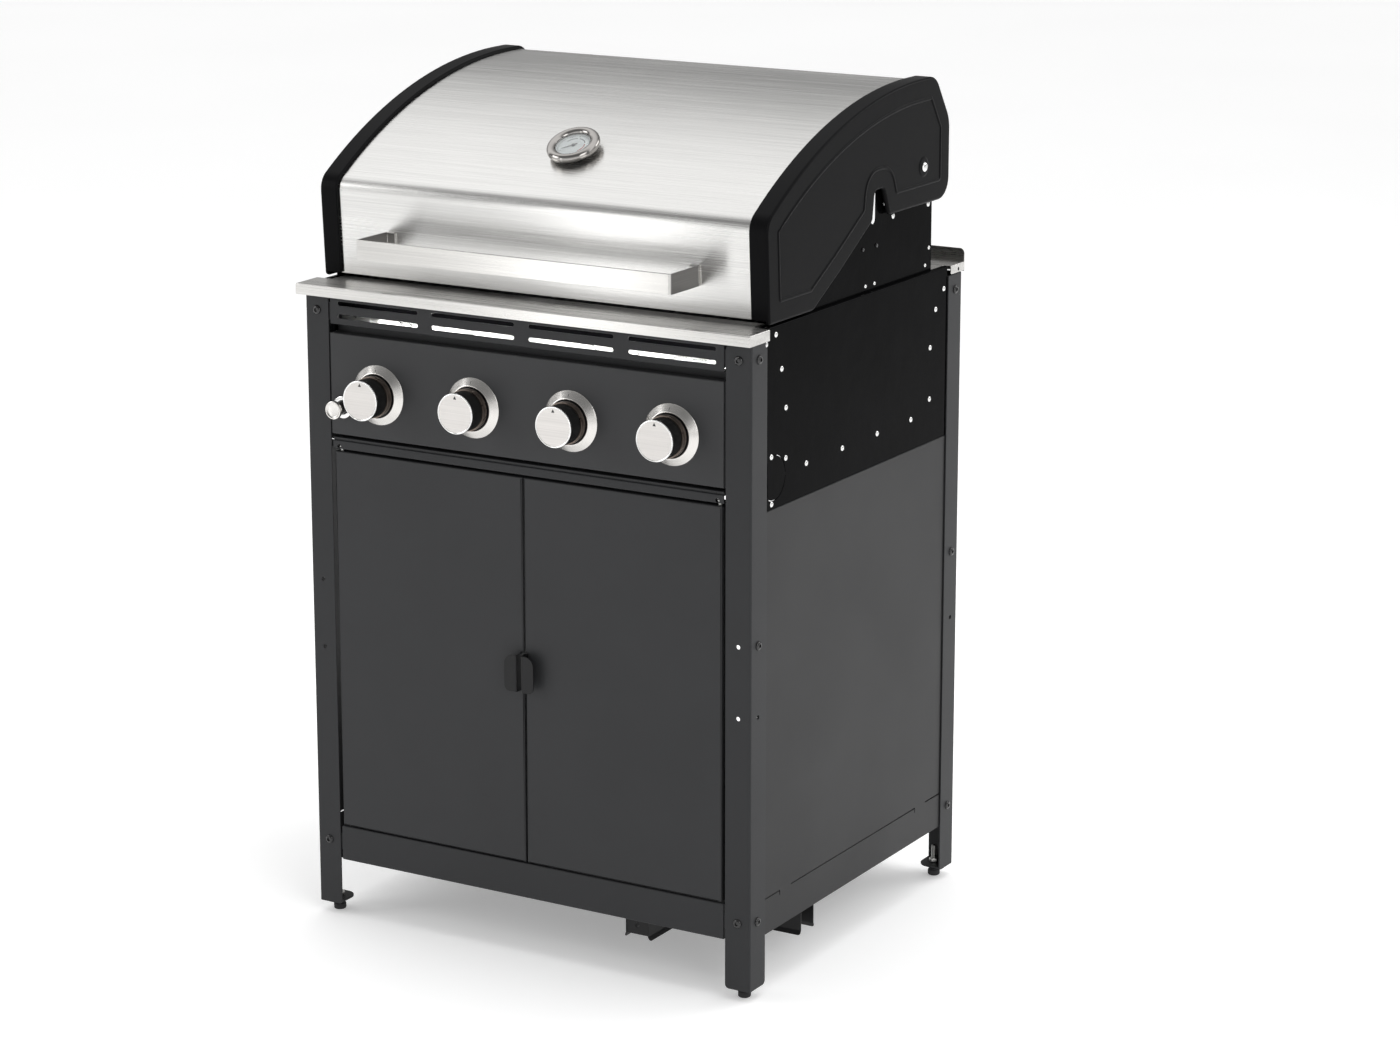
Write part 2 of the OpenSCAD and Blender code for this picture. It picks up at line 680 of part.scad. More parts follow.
// The stainless shelf behind the lid, with a low upstand and two side lips over the legs
module rear_shelf() color("#c8c8c5") centred() {
    y1 = half_d + shelf_over;
    y0 = half_d - 38;
    upstand = 19;
    back_face = 14;
    block([-half_w - 1.5, y0, shelf_top - top_t], [half_w + 1.5, y1, shelf_top]);
    block([-wall_x, fire_back + 8, shelf_top - top_t], [wall_x, y0, shelf_top]);
    along_y(y1 - top_t, y1)
        polygon(rounded([[-half_w - 1.5, shelf_top - back_face, 0], [-half_w - 1.5, shelf_top + upstand, 7],
                         [half_w + 1.5, shelf_top + upstand, 7], [half_w + 1.5, shelf_top - back_face, 0]]));
    for (side = [-1, 1]) on_side(side) difference() {
        block([half_w + 0.3, y0, shelf_top - 12.5], [half_w + 1.5, y1 - top_t, shelf_top - top_t]);
        rod_x(2.6, half_w - 2, half_w + 3, half_d - 14, shelf_top - 8);
    }
}

// ---------------------------------------------------------------- base

// The cabinet's floor sheet
module bottom_shelf() color("#2b2c2e") centred() {
    low = skirt_z + sheet + 0.1;
    block([-inner_x + sheet + 0.3, front_face + sheet + 0.2, low],
          [inner_x - sheet - 0.3, inner_y - sheet - 0.2, low + sheet]);
    for (side = [-1, 1]) on_side(side)
        block([inner_x - sheet - 1.8, -half_d + 50, low + sheet],
              [inner_x - sheet - 0.3, half_d - 50, low + 14]);
}

// Section of a hat rail, open downwards, centred on zero
module hat_section() {
    half = 18.5;
    low = skirt_z - 28;
    top = skirt_z + sheet;
    for (side = [-1, 1]) mirror([side < 0 ? 1 : 0, 0])
        polygon([[0, top], [half, top], [half, low], [half + 3, low - 6.5], [half + 1.5, low - 6.5],
                 [half - sheet, low], [half - sheet, top - sheet], [0, top - sheet]]);
}

// Two hat rails under the floor sheet: one across the cabinet, one from it to the front rail
module bottle_rails() color("#1d1d1e") centred() {
    cross_y = -137;
    front_x = 168;
    rotate([0, 0, 90]) along_y(-inner_x + sheet + 0.3, inner_x - sheet - 0.3)
        translate([cross_y, 0]) hat_section();
    along_y(front_face + 20.5, cross_y - 22)
        translate([front_x, 0]) hat_section();
    block([front_x - 17, front_face + 21, skirt_z - 28], [front_x + 17, front_face + 22.5, skirt_z]);
}

// ---------------------------------------------------------------- fasteners

// A button-head bolt through 'grip' of sheet, with its nut; the head stands on z = 0
module bolt(grip) {
    head_r = 6.5;
    head_h = 3;
    nut_h = 4;
    difference() {
        rotate_extrude($fn = 32)
            polygon([[0, 0], [head_r, 0], [head_r, 0.8], [head_r - 1.6, head_h - 0.4], [head_r - 2.8, head_h],
                     [0, head_h]]);
        translate([0, 0, 1.2]) cylinder(r = 2.3, h = head_h, $fn = 6);
    }
    translate([0, 0, -grip - nut_h - 1]) cylinder(r = bolt_r, h = grip + nut_h + 1.2, $fn = 24);
    translate([0, 0, -grip - nut_h]) cylinder(r = 5.8, h = nut_h, $fn = 6);
}

// All the bolts that hold the legs to the rails and panels
module frame_bolts() color("#1a1a1b") centred() {
    grip = leg_t + sheet;
    for (side = [-1, 1], end = [-1, 1]) on_side(side) on_end(end) {
        for (z = bolt_zs) translate([bolt_x, -half_d, z]) rotate([90, 0, 0]) bolt(grip);
        for (z = concat(bolt_zs, [side_bolt_z]))
            translate([half_w, -bolt_y, z]) rotate([0, 90, 0]) bolt(grip);
    }
}

// Headed pins for the doors: two in the header rail and two in the lower front rail
module door_hinge_pins() color("#cfcfcf") centred() {
    engage = 6;
    for (side = [-1, 1]) {
        translate([side * pin_x, pin_y, door_high - engage])
            cylinder(r = pin_r, h = engage + 3.5 + sheet + 3);
        translate([side * pin_x, pin_y, door_high + 3.5 + sheet + 0.05]) cylinder(r = 5.5, h = 3);
        translate([side * pin_x, pin_y, door_low - 2 - sheet - 3])
            cylinder(r = pin_r, h = engage + 2 + sheet + 3);
        translate([side * pin_x, pin_y, door_low - 2 - sheet - 3.05]) cylinder(r = 5.5, h = 3);
    }
}

// ---------------------------------------------------------------- controls

panel_face = front_face - 1;
knob_face = -half_d - knob_reach;
bezel_h = 8;
igniter_bore_r = 9.5;
stem_r = 4;
stem_flat = 2.6;                           // from a stem's axis to its flat
stem_inset = 12;                           // from a knob's face to the stem's end
flat_len = 24;

// Conical rings around the knobs
module knob_bezels() color("#c4c4c1") centred() {
    inner_r = 31;
    wall = 1.5;
    for (x = burner_xs) turned_y(x, panel_face, knob_z)
        polygon([[bezel_r - wall, 0], [bezel_r, 0], [bezel_r, 0.8],
                 [inner_r + 1, bezel_h], [inner_r, bezel_h], [inner_r, bezel_h - 3],
                 [inner_r + 0.8, bezel_h - 1.6], [bezel_r - wall - 0.6, 0.4]]);
}

// A valve stem with a flat for its knob
module valve_stem(i) color("#a8a49a") centred() {
    end_y = knob_face + stem_inset;
    difference() {
        rod_y(stem_r, end_y, valve_y + 4, burner_xs[i], knob_z);
        block([burner_xs[i] - 5, end_y - 1, knob_z + stem_flat],
              [burner_xs[i] + 5, end_y + flat_len, knob_z + 5]);
    }
}

// A knob: flat face, knurled grip, scale ring and a hub that fits the stem's flat
module knob(i) color("#8a8a88") centred() {
    grip_r = knob_r - 1;
    ring_r = knob_r + 1;
    length = knob_reach - 10;
    cavity_r = grip_r - 2.5;
    hub_back = length + 4;
    bore_start = stem_inset - knob_push - 1;
    round_start = stem_inset + flat_len - knob_push - 1;
    ribs = 48;
    x = burner_xs[i];
    difference() {
        union() {
            turned_y(x, knob_face, knob_z)
                polygon([[0, 0], [knob_r - 0.8, 0], [knob_r, -0.8], [knob_r, -2.6],
                         [grip_r, -3.2], [grip_r, -26], [ring_r, -26.8],
                         [ring_r, -length], [cavity_r, -length], [cavity_r, -12], [9, -12], [9, -hub_back], [0, -hub_back]]);
            translate([x, knob_face + 4, knob_z]) rotate([-90, 0, 0])
                for (k = [0 : ribs - 1]) rotate([0, 0, k * 360 / ribs])
                    translate([grip_r - 0.2, -0.6, 0]) cube([0.8, 1.2, 21]);
        }
        difference() {
            rod_y(stem_r + run_gap, knob_face + bore_start, knob_face + hub_back + 2, x, knob_z);
            block([x - 6, knob_face + bore_start - 1, knob_z + stem_flat + run_gap],
                  [x + 6, knob_face + round_start, knob_z + 6]);
        }
    }
}

module valve_stem_1() valve_stem(0);
module valve_stem_2() valve_stem(1);
module valve_stem_3() valve_stem(2);
module valve_stem_4() valve_stem(3);
module knob_1() knob(0);
module knob_2() knob(1);
module knob_3() knob(2);
module knob_4() knob(3);

// The igniter's bright collar and the barrel behind the panel, closed at its rear
module igniter_collar() color("#c4c4c1") centred() {
    barrel_r = igniter_bore_r + 0.6;
    barrel_end = 29 + igniter_push;
    difference() {
        union() {
            turned_y(igniter_x, panel_face, igniter_z)
                polygon([[0, 0], [16, 0], [16, 1], [14.5, 2.2], [0, 2.2]]);
            rod_y(barrel_r, panel_face, panel_face + barrel_end, igniter_x, igniter_z);
        }
        rod_y(igniter_bore_r, panel_face - 5, panel_face + barrel_end - 2, igniter_x, igniter_z);
    }
}

// The igniter's button: a dished head on a neck that slides in the barrel
module igniter_button() color("#b8b8b5") centred() {
    head_r = 13;
    reach = 24.5;
    neck_r = igniter_bore_r - run_gap;
    turned_y(igniter_x, panel_face, igniter_z)
        polygon([[0, reach - 1.2], [head_r - 2.5, reach - 1.2], [head_r - 1.8, reach], [head_r - 0.8, reach],
                 [head_r, reach - 1], [head_r, reach - 5], [head_r - 1.5, reach - 6.5], [neck_r, reach - 7],
                 [neck_r, -24], [0, -24]]);
}

// ---------------------------------------------------------------- lid

gauge_z = lid_low + 195;
gauge_y = -166;
gauge_tilt = 62;                           // from the floor's plane to the dial's axis
probe_r = 3.5;

// Places its children on the gauge's axis, with +Z out of the lid
module on_gauge() translate([0, gauge_y, gauge_z]) rotate([90 - gauge_tilt, 0, 0]) children();

// The curved sheet between the two caps
module lid_skin() color("#c6c6c3") centred() {
    reach = half_w - cap_strip + 2;
    difference() {
        along_x(-reach, reach) arch_band(skin_inset + skin_t, skin_inset, rear_edge_z);
        on_gauge() translate([0, 0, -30]) cylinder(r = probe_r + 0.5, h = 60);
        for (side = [-1, 1], z = handle_bolt_zs)
            rod_y(3.2, -275, -235, side * (handle_half - 8), z);
    }
}

// An end cap: side plate, deep rim over the crown, shallow lip elsewhere
module lid_cap() {
    plate_t = 1.5;
    lip = 4;
    deep = half_w - cap_strip;
    difference() {
        union() {
            along_x(half_w - plate_t, half_w) polygon(rounded(cap_outline));
            along_x(half_w - plate_t - lip, half_w - plate_t) difference() {
                polygon(rounded(cap_outline));
                polygon(rounded(inset(cap_outline, rim_t)));
            }
            along_x(deep, half_w - plate_t - lip) arch_band(rim_t, 0, lid_low + 218);
            along_x(deep, half_w - plate_t - lip) intersection() {
                arch_band(rim_t, 0, lid_low + 132);
                translate([-half_d, 0]) square([half_d, lid_low + 400]);
            }
            along_x(deep, deep + 1.5) arch_band(skin_inset, rim_t, lid_low + 218);
            along_x(deep, deep + 1.5) intersection() {
                arch_band(skin_inset, rim_t, lid_low + 132);
                translate([-half_d, 0]) square([half_d, lid_low + 400]);
            }
            rod_x(12, half_w - plate_t - 1, half_w + 0.8, hinge_y, hinge_z);
        }
        rod_x(hinge_bolt_r + 0.02, half_w - 4, half_w + 2, hinge_y, hinge_z);
    }
}

module lid_cap_left() color("#252527") centred() on_side(-1) lid_cap();
module lid_cap_right() color("#252527") centred() lid_cap();

handle_mid_z = 989;
handle_bolt_zs = [handle_mid_z - 7, handle_mid_z + 7];
handle_front = -half_d - 26;

// The handle: a flat bar folded into a U, with two studs in each arm
module lid_handle() color("#cfcfcc") centred() {
    bar_t = 3;
    z0 = handle_mid_z - handle_h / 2;
    z1 = handle_mid_z + handle_h / 2;
    back = skin_front(z1) - 0.1;
    foot_w = 16;
    block([-handle_half, handle_front, z0], [handle_half, handle_front + bar_t, z1]);
    for (side = [-1, 1]) on_side(side) {
        block([handle_half - bar_t, handle_front + bar_t, z0], [handle_half, back, z1]);
        block([handle_half - foot_w, back - bar_t, z0], [handle_half - bar_t, back, z1]);
        for (z = handle_bolt_zs) rod_y(3, back - 1, back + 10, handle_half - 8, z);
    }
}

// The thermometer: bezel ring, sunk dial and probe
module thermometer() color("#bdbdba") centred() on_gauge() {
    rotate_extrude($fn = 96)
        polygon([[0, 2], [gauge_r - 9, 2], [gauge_r - 9, 9], [gauge_r - 8, 10.5], [gauge_r - 4, 11.5],
                 [gauge_r - 1, 9.5], [gauge_r, 6], [gauge_r - 2, 1.5], [probe_r + 6, 1], [0, 1]]);
    translate([0, 0, -70]) cylinder(r = probe_r, h = 72);
}

// The two bolts on which the lid turns, each with a spacer between cap and wall
module lid_hinge_bolts() color("#d0d0d0") centred() {
    for (side = [-1, 1]) on_side(side) {
        rod_x(hinge_bolt_r, wall_x - sheet - 8, half_w + 2, hinge_y, hinge_z);
        rod_x(8, wall_x + 0.4, half_w - 2.6, hinge_y, hinge_z);
        translate([half_w + 0.85, hinge_y, hinge_z]) rotate([0, 90, 0])
            rotate_extrude() polygon([[0, 0], [7, 0], [7, 1.5], [5, 3.5], [0, 4]]);
        translate([wall_x - sheet - 6.4, hinge_y, hinge_z]) rotate([0, 90, 0])
            cylinder(r = 7, h = 6, $fn = 6);
    }
}

// ---------------------------------------------------------------- doors

notch_depth = 4;

// A door pan, drawn as the right one, hinged at its outer edge
module door() {
    face = -half_d;
    x0 = door_gap;
    x1 = door_edge;
    difference() {
        block([x0, face, door_low], [x1, face + door_return, door_high]);
        block([x0 + door_t, face + door_t, door_low + door_t],
              [x1 - door_t, face + door_return + 1, door_high - door_t]);
        block([x0 - 1, face - 1, pull_z - pull_h / 2 - 0.5],
              [x0 + notch_depth, face + door_return + 1, pull_z + pull_h / 2 + 0.5]);
        for (z = [door_low - 1, door_high - 3])
            translate([pin_x, pin_y, z]) cylinder(r = pin_r + run_gap, h = 4);
    }
}

// A folded pull, drawn as the right one: front tab, web and a rear foot behind the door's face
module door_pull() {
    face = -half_d;
    tab_y = face - 15.5;
    x0 = door_gap + 2;
    t = 1.5;
    z0 = pull_z - pull_h / 2;
    z1 = pull_z + pull_h / 2;
    along_y(tab_y, tab_y + t)
        polygon(rounded([[x0, z0, 0], [x0, z1, 1.5], [24, z1, 14], [24, z0, 8]]));
    block([x0, tab_y + t, z0], [x0 + t, face + door_t + t + 0.1, z1]);
    block([x0 + t, face + door_t + 0.1, z0], [20, face + door_t + t + 0.1, z1]);
}

module door_left() color("#2f3032") centred() on_side(-1) door();
module door_right() color("#2f3032") centred() door();
module door_pull_left() color("#1b1b1c") centred() on_side(-1) door_pull();
module door_pull_right() color("#1b1b1c") centred() door_pull();

// ---------------------------------------------------------------- grease tray and cup

// A shallow pan with side flanges that ride on the runners, a drain and a rear finger lip
module grease_tray() color("#7d7d7a") centred() {
    t = 1.5;
    difference() {
        block([-tray_half, tray_front, tray_low], [tray_half, tray_back, tray_high]);
        block([-tray_half + t, tray_front + t, tray_low + t], [tray_half - t, tray_back - t, tray_high + 1]);
        translate([0, 0, tray_low - 1]) cylinder(r = 8, h = 4);
    }
    block([-60, tray_back, tray_high - t], [60, tray_back + 14, tray_high]);
    block([-60, tray_back + 14 - t, tray_high - 10], [60, tray_back + 14, tray_high - t]);
    for (side = [-1, 1]) block([side * 52 - 2, -30, tray_low - 6], [side * 52 + 2, 30, tray_low]);
    for (side = [-1, 1]) on_side(side) block([46, -30, tray_low - 7.5], [54, 30, tray_low - 6]);
}

// The cup that hangs by its rim under the tray's drain
module grease_cup() color("#a9a9a6") centred() {
    top = tray_low - 0.4;
    rim_z = tray_low - 4.2;
    rotate_extrude($fn = 64)
        polygon([[0, top - 55], [36, top - 55], [43, rim_z], [49.5, rim_z],
                 [49.5, rim_z + 1.5], [42, rim_z + 1.5], [34.8, top - 53.5], [0, top - 53.5]]);
}

// ---------------------------------------------------------------- drawing

leg_front_left();
leg_front_right();
leg_rear_left();
leg_rear_right();
foot_front_left();
foot_front_right();
foot_rear_left();
foot_rear_right();
vent_rail();
control_panel();
header_rail();
lower_front_rail();
rear_rails();
side_panel_left();
side_panel_right();
upper_panel_left();
upper_panel_right();
firebox_side_left();
firebox_side_right();
firebox_front();
firebox_back();
firebox_floor();
bottom_shelf();
bottle_rails();
countertop();
rear_shelf();
burners();
flame_tamers();
manifold();
gas_valves();
cooking_grate_left();
cooking_grate_right();
warming_rack();
knob_bezels();
igniter_collar();
panel_rivets();
frame_bolts();
door_hinge_pins();
valve_stem_1();
valve_stem_2();
valve_stem_3();
valve_stem_4();
knob_1();
knob_2();
knob_3();
knob_4();
igniter_button();
lid_skin();
lid_cap_left();
lid_cap_right();
lid_handle();
thermometer();
lid_hinge_bolts();
door_left();
door_right();
door_pull_left();
door_pull_right();
grease_tray();
grease_cup();
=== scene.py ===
import math

import bmesh
import bpy
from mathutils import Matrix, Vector
from mathutils.geometry import tessellate_polygon


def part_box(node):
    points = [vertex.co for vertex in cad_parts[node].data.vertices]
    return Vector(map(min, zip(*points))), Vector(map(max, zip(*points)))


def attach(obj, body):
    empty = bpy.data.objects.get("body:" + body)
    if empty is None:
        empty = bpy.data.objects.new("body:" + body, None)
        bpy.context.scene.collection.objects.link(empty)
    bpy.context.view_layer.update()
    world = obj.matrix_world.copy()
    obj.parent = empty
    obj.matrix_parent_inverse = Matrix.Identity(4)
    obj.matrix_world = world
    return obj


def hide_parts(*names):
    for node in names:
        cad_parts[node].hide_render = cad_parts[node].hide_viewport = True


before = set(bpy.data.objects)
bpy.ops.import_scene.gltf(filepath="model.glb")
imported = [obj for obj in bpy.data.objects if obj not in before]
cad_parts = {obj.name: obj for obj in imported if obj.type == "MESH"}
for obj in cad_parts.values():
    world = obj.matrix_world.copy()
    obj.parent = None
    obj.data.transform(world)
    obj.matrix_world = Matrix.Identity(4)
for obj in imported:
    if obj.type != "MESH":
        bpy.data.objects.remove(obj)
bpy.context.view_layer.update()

# Shapes below are written in millimetres, with Y = 0 in the middle of the leg frame, as in the CAD source.
# MID is the distance from there to the origin of the row frame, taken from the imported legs.
_front, _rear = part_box("leg_front_left"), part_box("leg_rear_left")
MID = (_front[0].y + _rear[1].y) * 500


def metres(p):
    return Vector((p[0] * 0.001, (p[1] + MID) * 0.001, p[2] * 0.001))


# ------------------------------------------------------------------ camera and stage

def look(azimuth, elevation, target, distance, lens, rise):
    """The photo's camera: degrees round and above the target. rise shifts the picture by a share of its width."""
    cam = bpy.data.cameras.new("camera")
    obj = bpy.data.objects.new("camera", cam)
    bpy.context.scene.collection.objects.link(obj)
    a, e = math.radians(azimuth), math.radians(elevation)
    back = Vector((math.sin(a) * math.cos(e), -math.cos(a) * math.cos(e), math.sin(e)))
    obj.location = metres(target) + back * distance * 0.001
    obj.rotation_mode = "QUATERNION"
    obj.rotation_quaternion = (-back).to_track_quat("-Z", "Y")
    cam.sensor_width = 36
    cam.lens = lens
    cam.shift_y = rise
    cam.clip_end = 200
    bpy.context.scene.camera = obj


look(30.562, 13.345, (101.6, 0, 681.2), 5274, 95.4, -0.0532142857)


# ------------------------------------------------------------------ materials

class Tree:
    """Adds and links the nodes of one node tree."""

    def __init__(self, tree):
        self.tree = tree

    def new(self, kind, **props):
        node = self.tree.nodes.new(kind)
        for k, v in props.items():
            setattr(node, k, v)
        return node

    def link(self, a, b):
        self.tree.links.new(a, b)

    def math(self, kind, a, b):
        node = self.new("ShaderNodeMath", operation=kind)
        for socket, x in zip(node.inputs, (a, b)):
            if isinstance(x, (int, float)):
                socket.default_value = x
            else:
                self.link(x, socket)
        return node.outputs[0]

    def remap(self, value, low, high, start=0.3, end=0.7):
        node = self.new("ShaderNodeMapRange")
        node.inputs["From Min"].default_value = start
        node.inputs["From Max"].default_value = end
        node.inputs["To Min"].default_value = low
        node.inputs["To Max"].default_value = high
        self.link(value, node.inputs["Value"])
        return node.outputs["Result"]
class Nodes(Tree):
    """Builds one material from its Principled BSDF."""

    def __init__(self, name):
        self.mat = bpy.data.materials.new(name)
        self.mat.use_nodes = True
        super().__init__(self.mat.node_tree)
        self.bsdf = self.tree.nodes["Principled BSDF"]
        self.coords = self.new("ShaderNodeTexCoord").outputs["Object"]

    def noise(self, scale, detail=2.0, rough=0.5, stretch=(1, 1, 1)):
        mapping = self.new("ShaderNodeMapping")
        mapping.inputs["Scale"].default_value = stretch
        self.link(self.coords, mapping.inputs["Vector"])
        tex = self.new("ShaderNodeTexNoise")
        for k, v in (("Scale", scale), ("Detail", detail), ("Roughness", rough)):
            tex.inputs[k].default_value = v
        self.link(mapping.outputs["Vector"], tex.inputs["Vector"])
        return tex.outputs["Fac"]

    def blend(self, a, share, b):
        """share of a and the rest of b."""
        return self.math("ADD", self.math("MULTIPLY", a, share), self.math("MULTIPLY", b, 1 - share))

    def mix(self, fac, a, b):
        node = self.new("ShaderNodeMix", data_type="RGBA")
        self.link(fac, node.inputs["Factor"])
        node.inputs["A"].default_value = (*a, 1)
        node.inputs["B"].default_value = (*b, 1)
        return node.outputs["Result"]

    def bump(self, height, distance, strength=1.0, after=None):
        node = self.new("ShaderNodeBump")
        node.inputs["Strength"].default_value = strength
        node.inputs["Distance"].default_value = distance
        self.link(height, node.inputs["Height"])
        if after is not None:
            self.link(after, node.inputs["Normal"])
        return node.outputs["Normal"]
    def tint(self, fac, colour, low, high, start=0.3, end=0.7, lift=0.0):
        """Lets the base colour wander between colour * low and colour * high."""
        dark, light = tuple(c * low for c in colour), tuple(min(1, c * high + lift) for c in colour)
        self.set(Base_Color=self.mix(self.remap(fac, 0, 1, start, end), dark, light))

    def set(self, **values):
        for k, v in values.items():
            socket = self.bsdf.inputs[k.replace("_", " ")]
            if isinstance(v, (int, float)):
                socket.default_value = v
            elif isinstance(v, tuple):
                socket.default_value = (*v, 1)
            else:
                self.link(v, socket)


def brushed(name, lines, colour, rough, aniso, tangent=None, fine=900, depth=1.0):
    """Brushed stainless steel. lines is the direction of the brush lines: X, Y or Z."""
    n = Nodes(name)
    axis = "XYZ".index(lines)

    def along(length, width):
        return tuple(length if i == axis else width for i in range(3))

    hair = n.noise(1.0, 3.0, 0.65, along(5, fine))
    streak = n.noise(1.0, 2.0, 0.5, along(1.6, 110))
    cloud = n.noise(3.0, 2.0, 0.5)
    tone = n.blend(hair, 0.8, streak)
    n.tint(tone, colour, 0.88, 1.1, 0.35, 0.65)
    r = n.math("ADD", n.remap(tone, rough - 0.035, rough + 0.045), n.remap(cloud, -0.02, 0.02))
    n.set(Metallic=1.0, Roughness=r, Anisotropic=aniso)
    if tangent:
        t = n.new("ShaderNodeTangent", direction_type="RADIAL", axis=tangent)
        n.link(t.outputs["Tangent"], n.bsdf.inputs["Tangent"])
    n.set(Normal=n.bump(hair, 0.000035 * depth, 0.5, n.bump(streak, 0.00005 * depth, 0.06)))
    return n.mat


def turned(name, colour, rough, ring_mm, strength, smear=1.0):
    """Turned or spun metal with fine tool marks and faint smears."""
    n = Nodes(name)
    cloud = n.noise(60, 3.0, 0.6)
    speck = n.noise(1 / (ring_mm * 0.001), 2.0, 0.6)
    n.tint(cloud, colour, 1 - 0.08 * smear, 1 + 0.06 * smear)
    n.set(Metallic=1.0, Roughness=n.remap(cloud, rough - 0.05 * smear, rough + 0.06 * smear), Anisotropic=0.0)
    n.set(Normal=n.bump(speck, 0.00002, strength))
    return n.mat


def powder(name, colour, rough=0.48, grain_mm=0.55, depth=0.00006, shine=0.26):
    """Powder coat or baked enamel: a fine pebbled skin, small tone shifts, a little dust."""
    n = Nodes(name)
    pebble = n.noise(1 / (grain_mm * 0.001), 2.0, 0.55)
    wave = n.noise(90, 2.0, 0.5)
    cloud = n.noise(5, 3.0, 0.6)
    n.tint(n.blend(pebble, 0.35, cloud), colour, 0.9, 1.1, 0.38, 0.62)
    n.set(Roughness=n.math("ADD", n.remap(cloud, rough - 0.04, rough + 0.04), n.remap(pebble, -0.05, 0.05)))
    n.set(Specular_IOR_Level=shine, IOR=1.5)
    n.set(Normal=n.bump(pebble, depth, 0.7, n.bump(wave, 0.00025, 0.12)))
    return n.mat


def gloss_enamel(name, colour, rough):
    """Glossy enamel with the slow ripple of orange peel."""
    n = Nodes(name)
    peel = n.noise(330, 2.0, 0.5)
    wave = n.noise(26, 2.0, 0.5)
    cloud = n.noise(7, 3.0, 0.6)
    n.tint(cloud, colour, 0.7, 1.5)
    n.set(Roughness=n.math("ADD", n.remap(cloud, rough - 0.03, rough + 0.05), n.remap(peel, -0.02, 0.02)))
    n.set(Specular_IOR_Level=0.015, IOR=1.5)
    n.set(Normal=n.bump(peel, 0.00025, 0.22, n.bump(wave, 0.003, 0.10)))
    return n.mat


def rubber(name, colour, rough):
    n = Nodes(name)
    grain = n.noise(2600, 2.0, 0.6)
    dust = n.noise(35, 4.0, 0.65)
    n.tint(dust, colour, 1, 2.4, 0.45, 0.75)
    n.set(Roughness=n.remap(dust, rough - 0.1, rough + 0.1), Specular_IOR_Level=0.35)
    n.set(Normal=n.bump(grain, 0.00008, 0.5))
    return n.mat


def cast(name, colour):
    """Cast iron with a sandy skin under matt enamel."""
    n = Nodes(name)
    sand = n.noise(900, 4.0, 0.7)
    n.tint(n.noise(20, 3.0, 0.6), colour, 1, 1.9)
    n.set(Roughness=n.remap(sand, 0.5, 0.72), Specular_IOR_Level=0.5)
    n.set(Normal=n.bump(sand, 0.0003, 0.55))
    return n.mat


def dull_steel(name, colour, rough, spangle=0.35):
    """Aluminised or galvanised sheet. spangle is the crystals' share of the tone."""
    n = Nodes(name)
    cell = n.new("ShaderNodeTexVoronoi")
    cell.inputs["Scale"].default_value = 85
    n.link(n.coords, cell.inputs["Vector"])
    tone = n.new("ShaderNodeSeparateColor")
    n.link(cell.outputs["Color"], tone.inputs["Color"])
    cloud = n.noise(12, 3.0, 0.6)
    mixed = n.blend(tone.outputs[0], spangle, cloud)
    n.tint(mixed, colour, 0.8, 1.12, 0.25, 0.75)
    n.set(Metallic=1.0, Roughness=n.remap(mixed, rough - 0.08, rough + 0.1, 0.25, 0.75))
    n.set(Normal=n.bump(cloud, 0.0004, 0.15))
    return n.mat


def plain_glass(name):
    n = Nodes(name)
    n.set(Base_Color=(0.95, 0.97, 0.97), Transmission_Weight=1.0, IOR=1.45)
    n.set(Roughness=n.remap(n.noise(70, 3.0, 0.6), 0.0, 0.05))
    return n.mat


def print_ink(name, colour, rough=0.5):
    n = Nodes(name)
    grain = n.noise(1500, 2.0, 0.5)
    n.tint(grain, colour, 0.85, 1.15, lift=0.003)
    n.set(Roughness=n.remap(grain, rough - 0.05, rough + 0.08))
    return n.mat


STEEL_X = brushed("steel_brushed_x", "X", colour=(0.64, 0.63, 0.61), tangent="X", rough=0.28, aniso=0.85)
STEEL_LID = brushed("steel_lid", "X", colour=(0.70, 0.695, 0.68), tangent="X", rough=0.24, aniso=0.88)
STEEL_HANDLE = brushed("steel_handle", "X", colour=(0.62, 0.61, 0.59), tangent="X", rough=0.22, aniso=0.6, fine=1300)
# A dark copy of the handle's steel for its arms: painted shade and painted reflection, not a darker metal.
STEEL_ARM_SHADE = brushed("steel_arm", "Y", colour=(0.2, 0.195, 0.19), rough=0.34, aniso=0.0, fine=1300)
STEEL_FACE = brushed("steel_knob_face", "X", colour=(0.6, 0.58, 0.56), rough=0.36, aniso=0.2, fine=2200, depth=0.7)
STEEL_CONE = turned("steel_cone", (0.68, 0.665, 0.64), 0.25, 0.25, 0.07, smear=0.25)
CHROME = turned("chrome", (0.78, 0.78, 0.77), 0.09, 0.8, 0.12)
ZINC = turned("zinc", (0.62, 0.62, 0.6), 0.3, 0.6, 0.5)
BRASS = turned("brass", (0.72, 0.55, 0.26), 0.3, 0.5, 0.4)
STEM = turned("stem_metal", (0.55, 0.54, 0.5), 0.3, 0.4, 0.4)
RING = turned("ring_bronze", (0.17, 0.14, 0.12), 0.3, 0.3, 0.3)
GAUGE = turned("gauge_bezel", (0.36, 0.345, 0.33), 0.11, 0.4, 0.06, smear=0.3)
FRAME_COAT = powder("frame_coat", (0.0205, 0.021, 0.0225))
PANEL_COAT = powder("panel_coat", (0.025, 0.0255, 0.027))
CONTROL_COAT = powder("control_coat", (0.033, 0.0335, 0.035))
SIDE_COAT = powder("side_coat", (0.0105, 0.0105, 0.0112), 0.42)
LID_COAT = powder("lid_coat", (0.0042, 0.0042, 0.0046), 0.32, 0.4, 0.00003, shine=0.04)
PULL_COAT = powder("pull_coat", (0.006, 0.006, 0.0065), 0.36, 0.4, 0.00003)
# Darker than the frame coat: painted shade for the bottle rails under the cabinet floor.
RAIL_SHADE_COAT = powder("rail_coat", (0.008, 0.008, 0.0085), 0.4, 0.5)
GRIP = powder("knob_grip", (0.006, 0.006, 0.006), 0.42, 0.35, 0.00003)
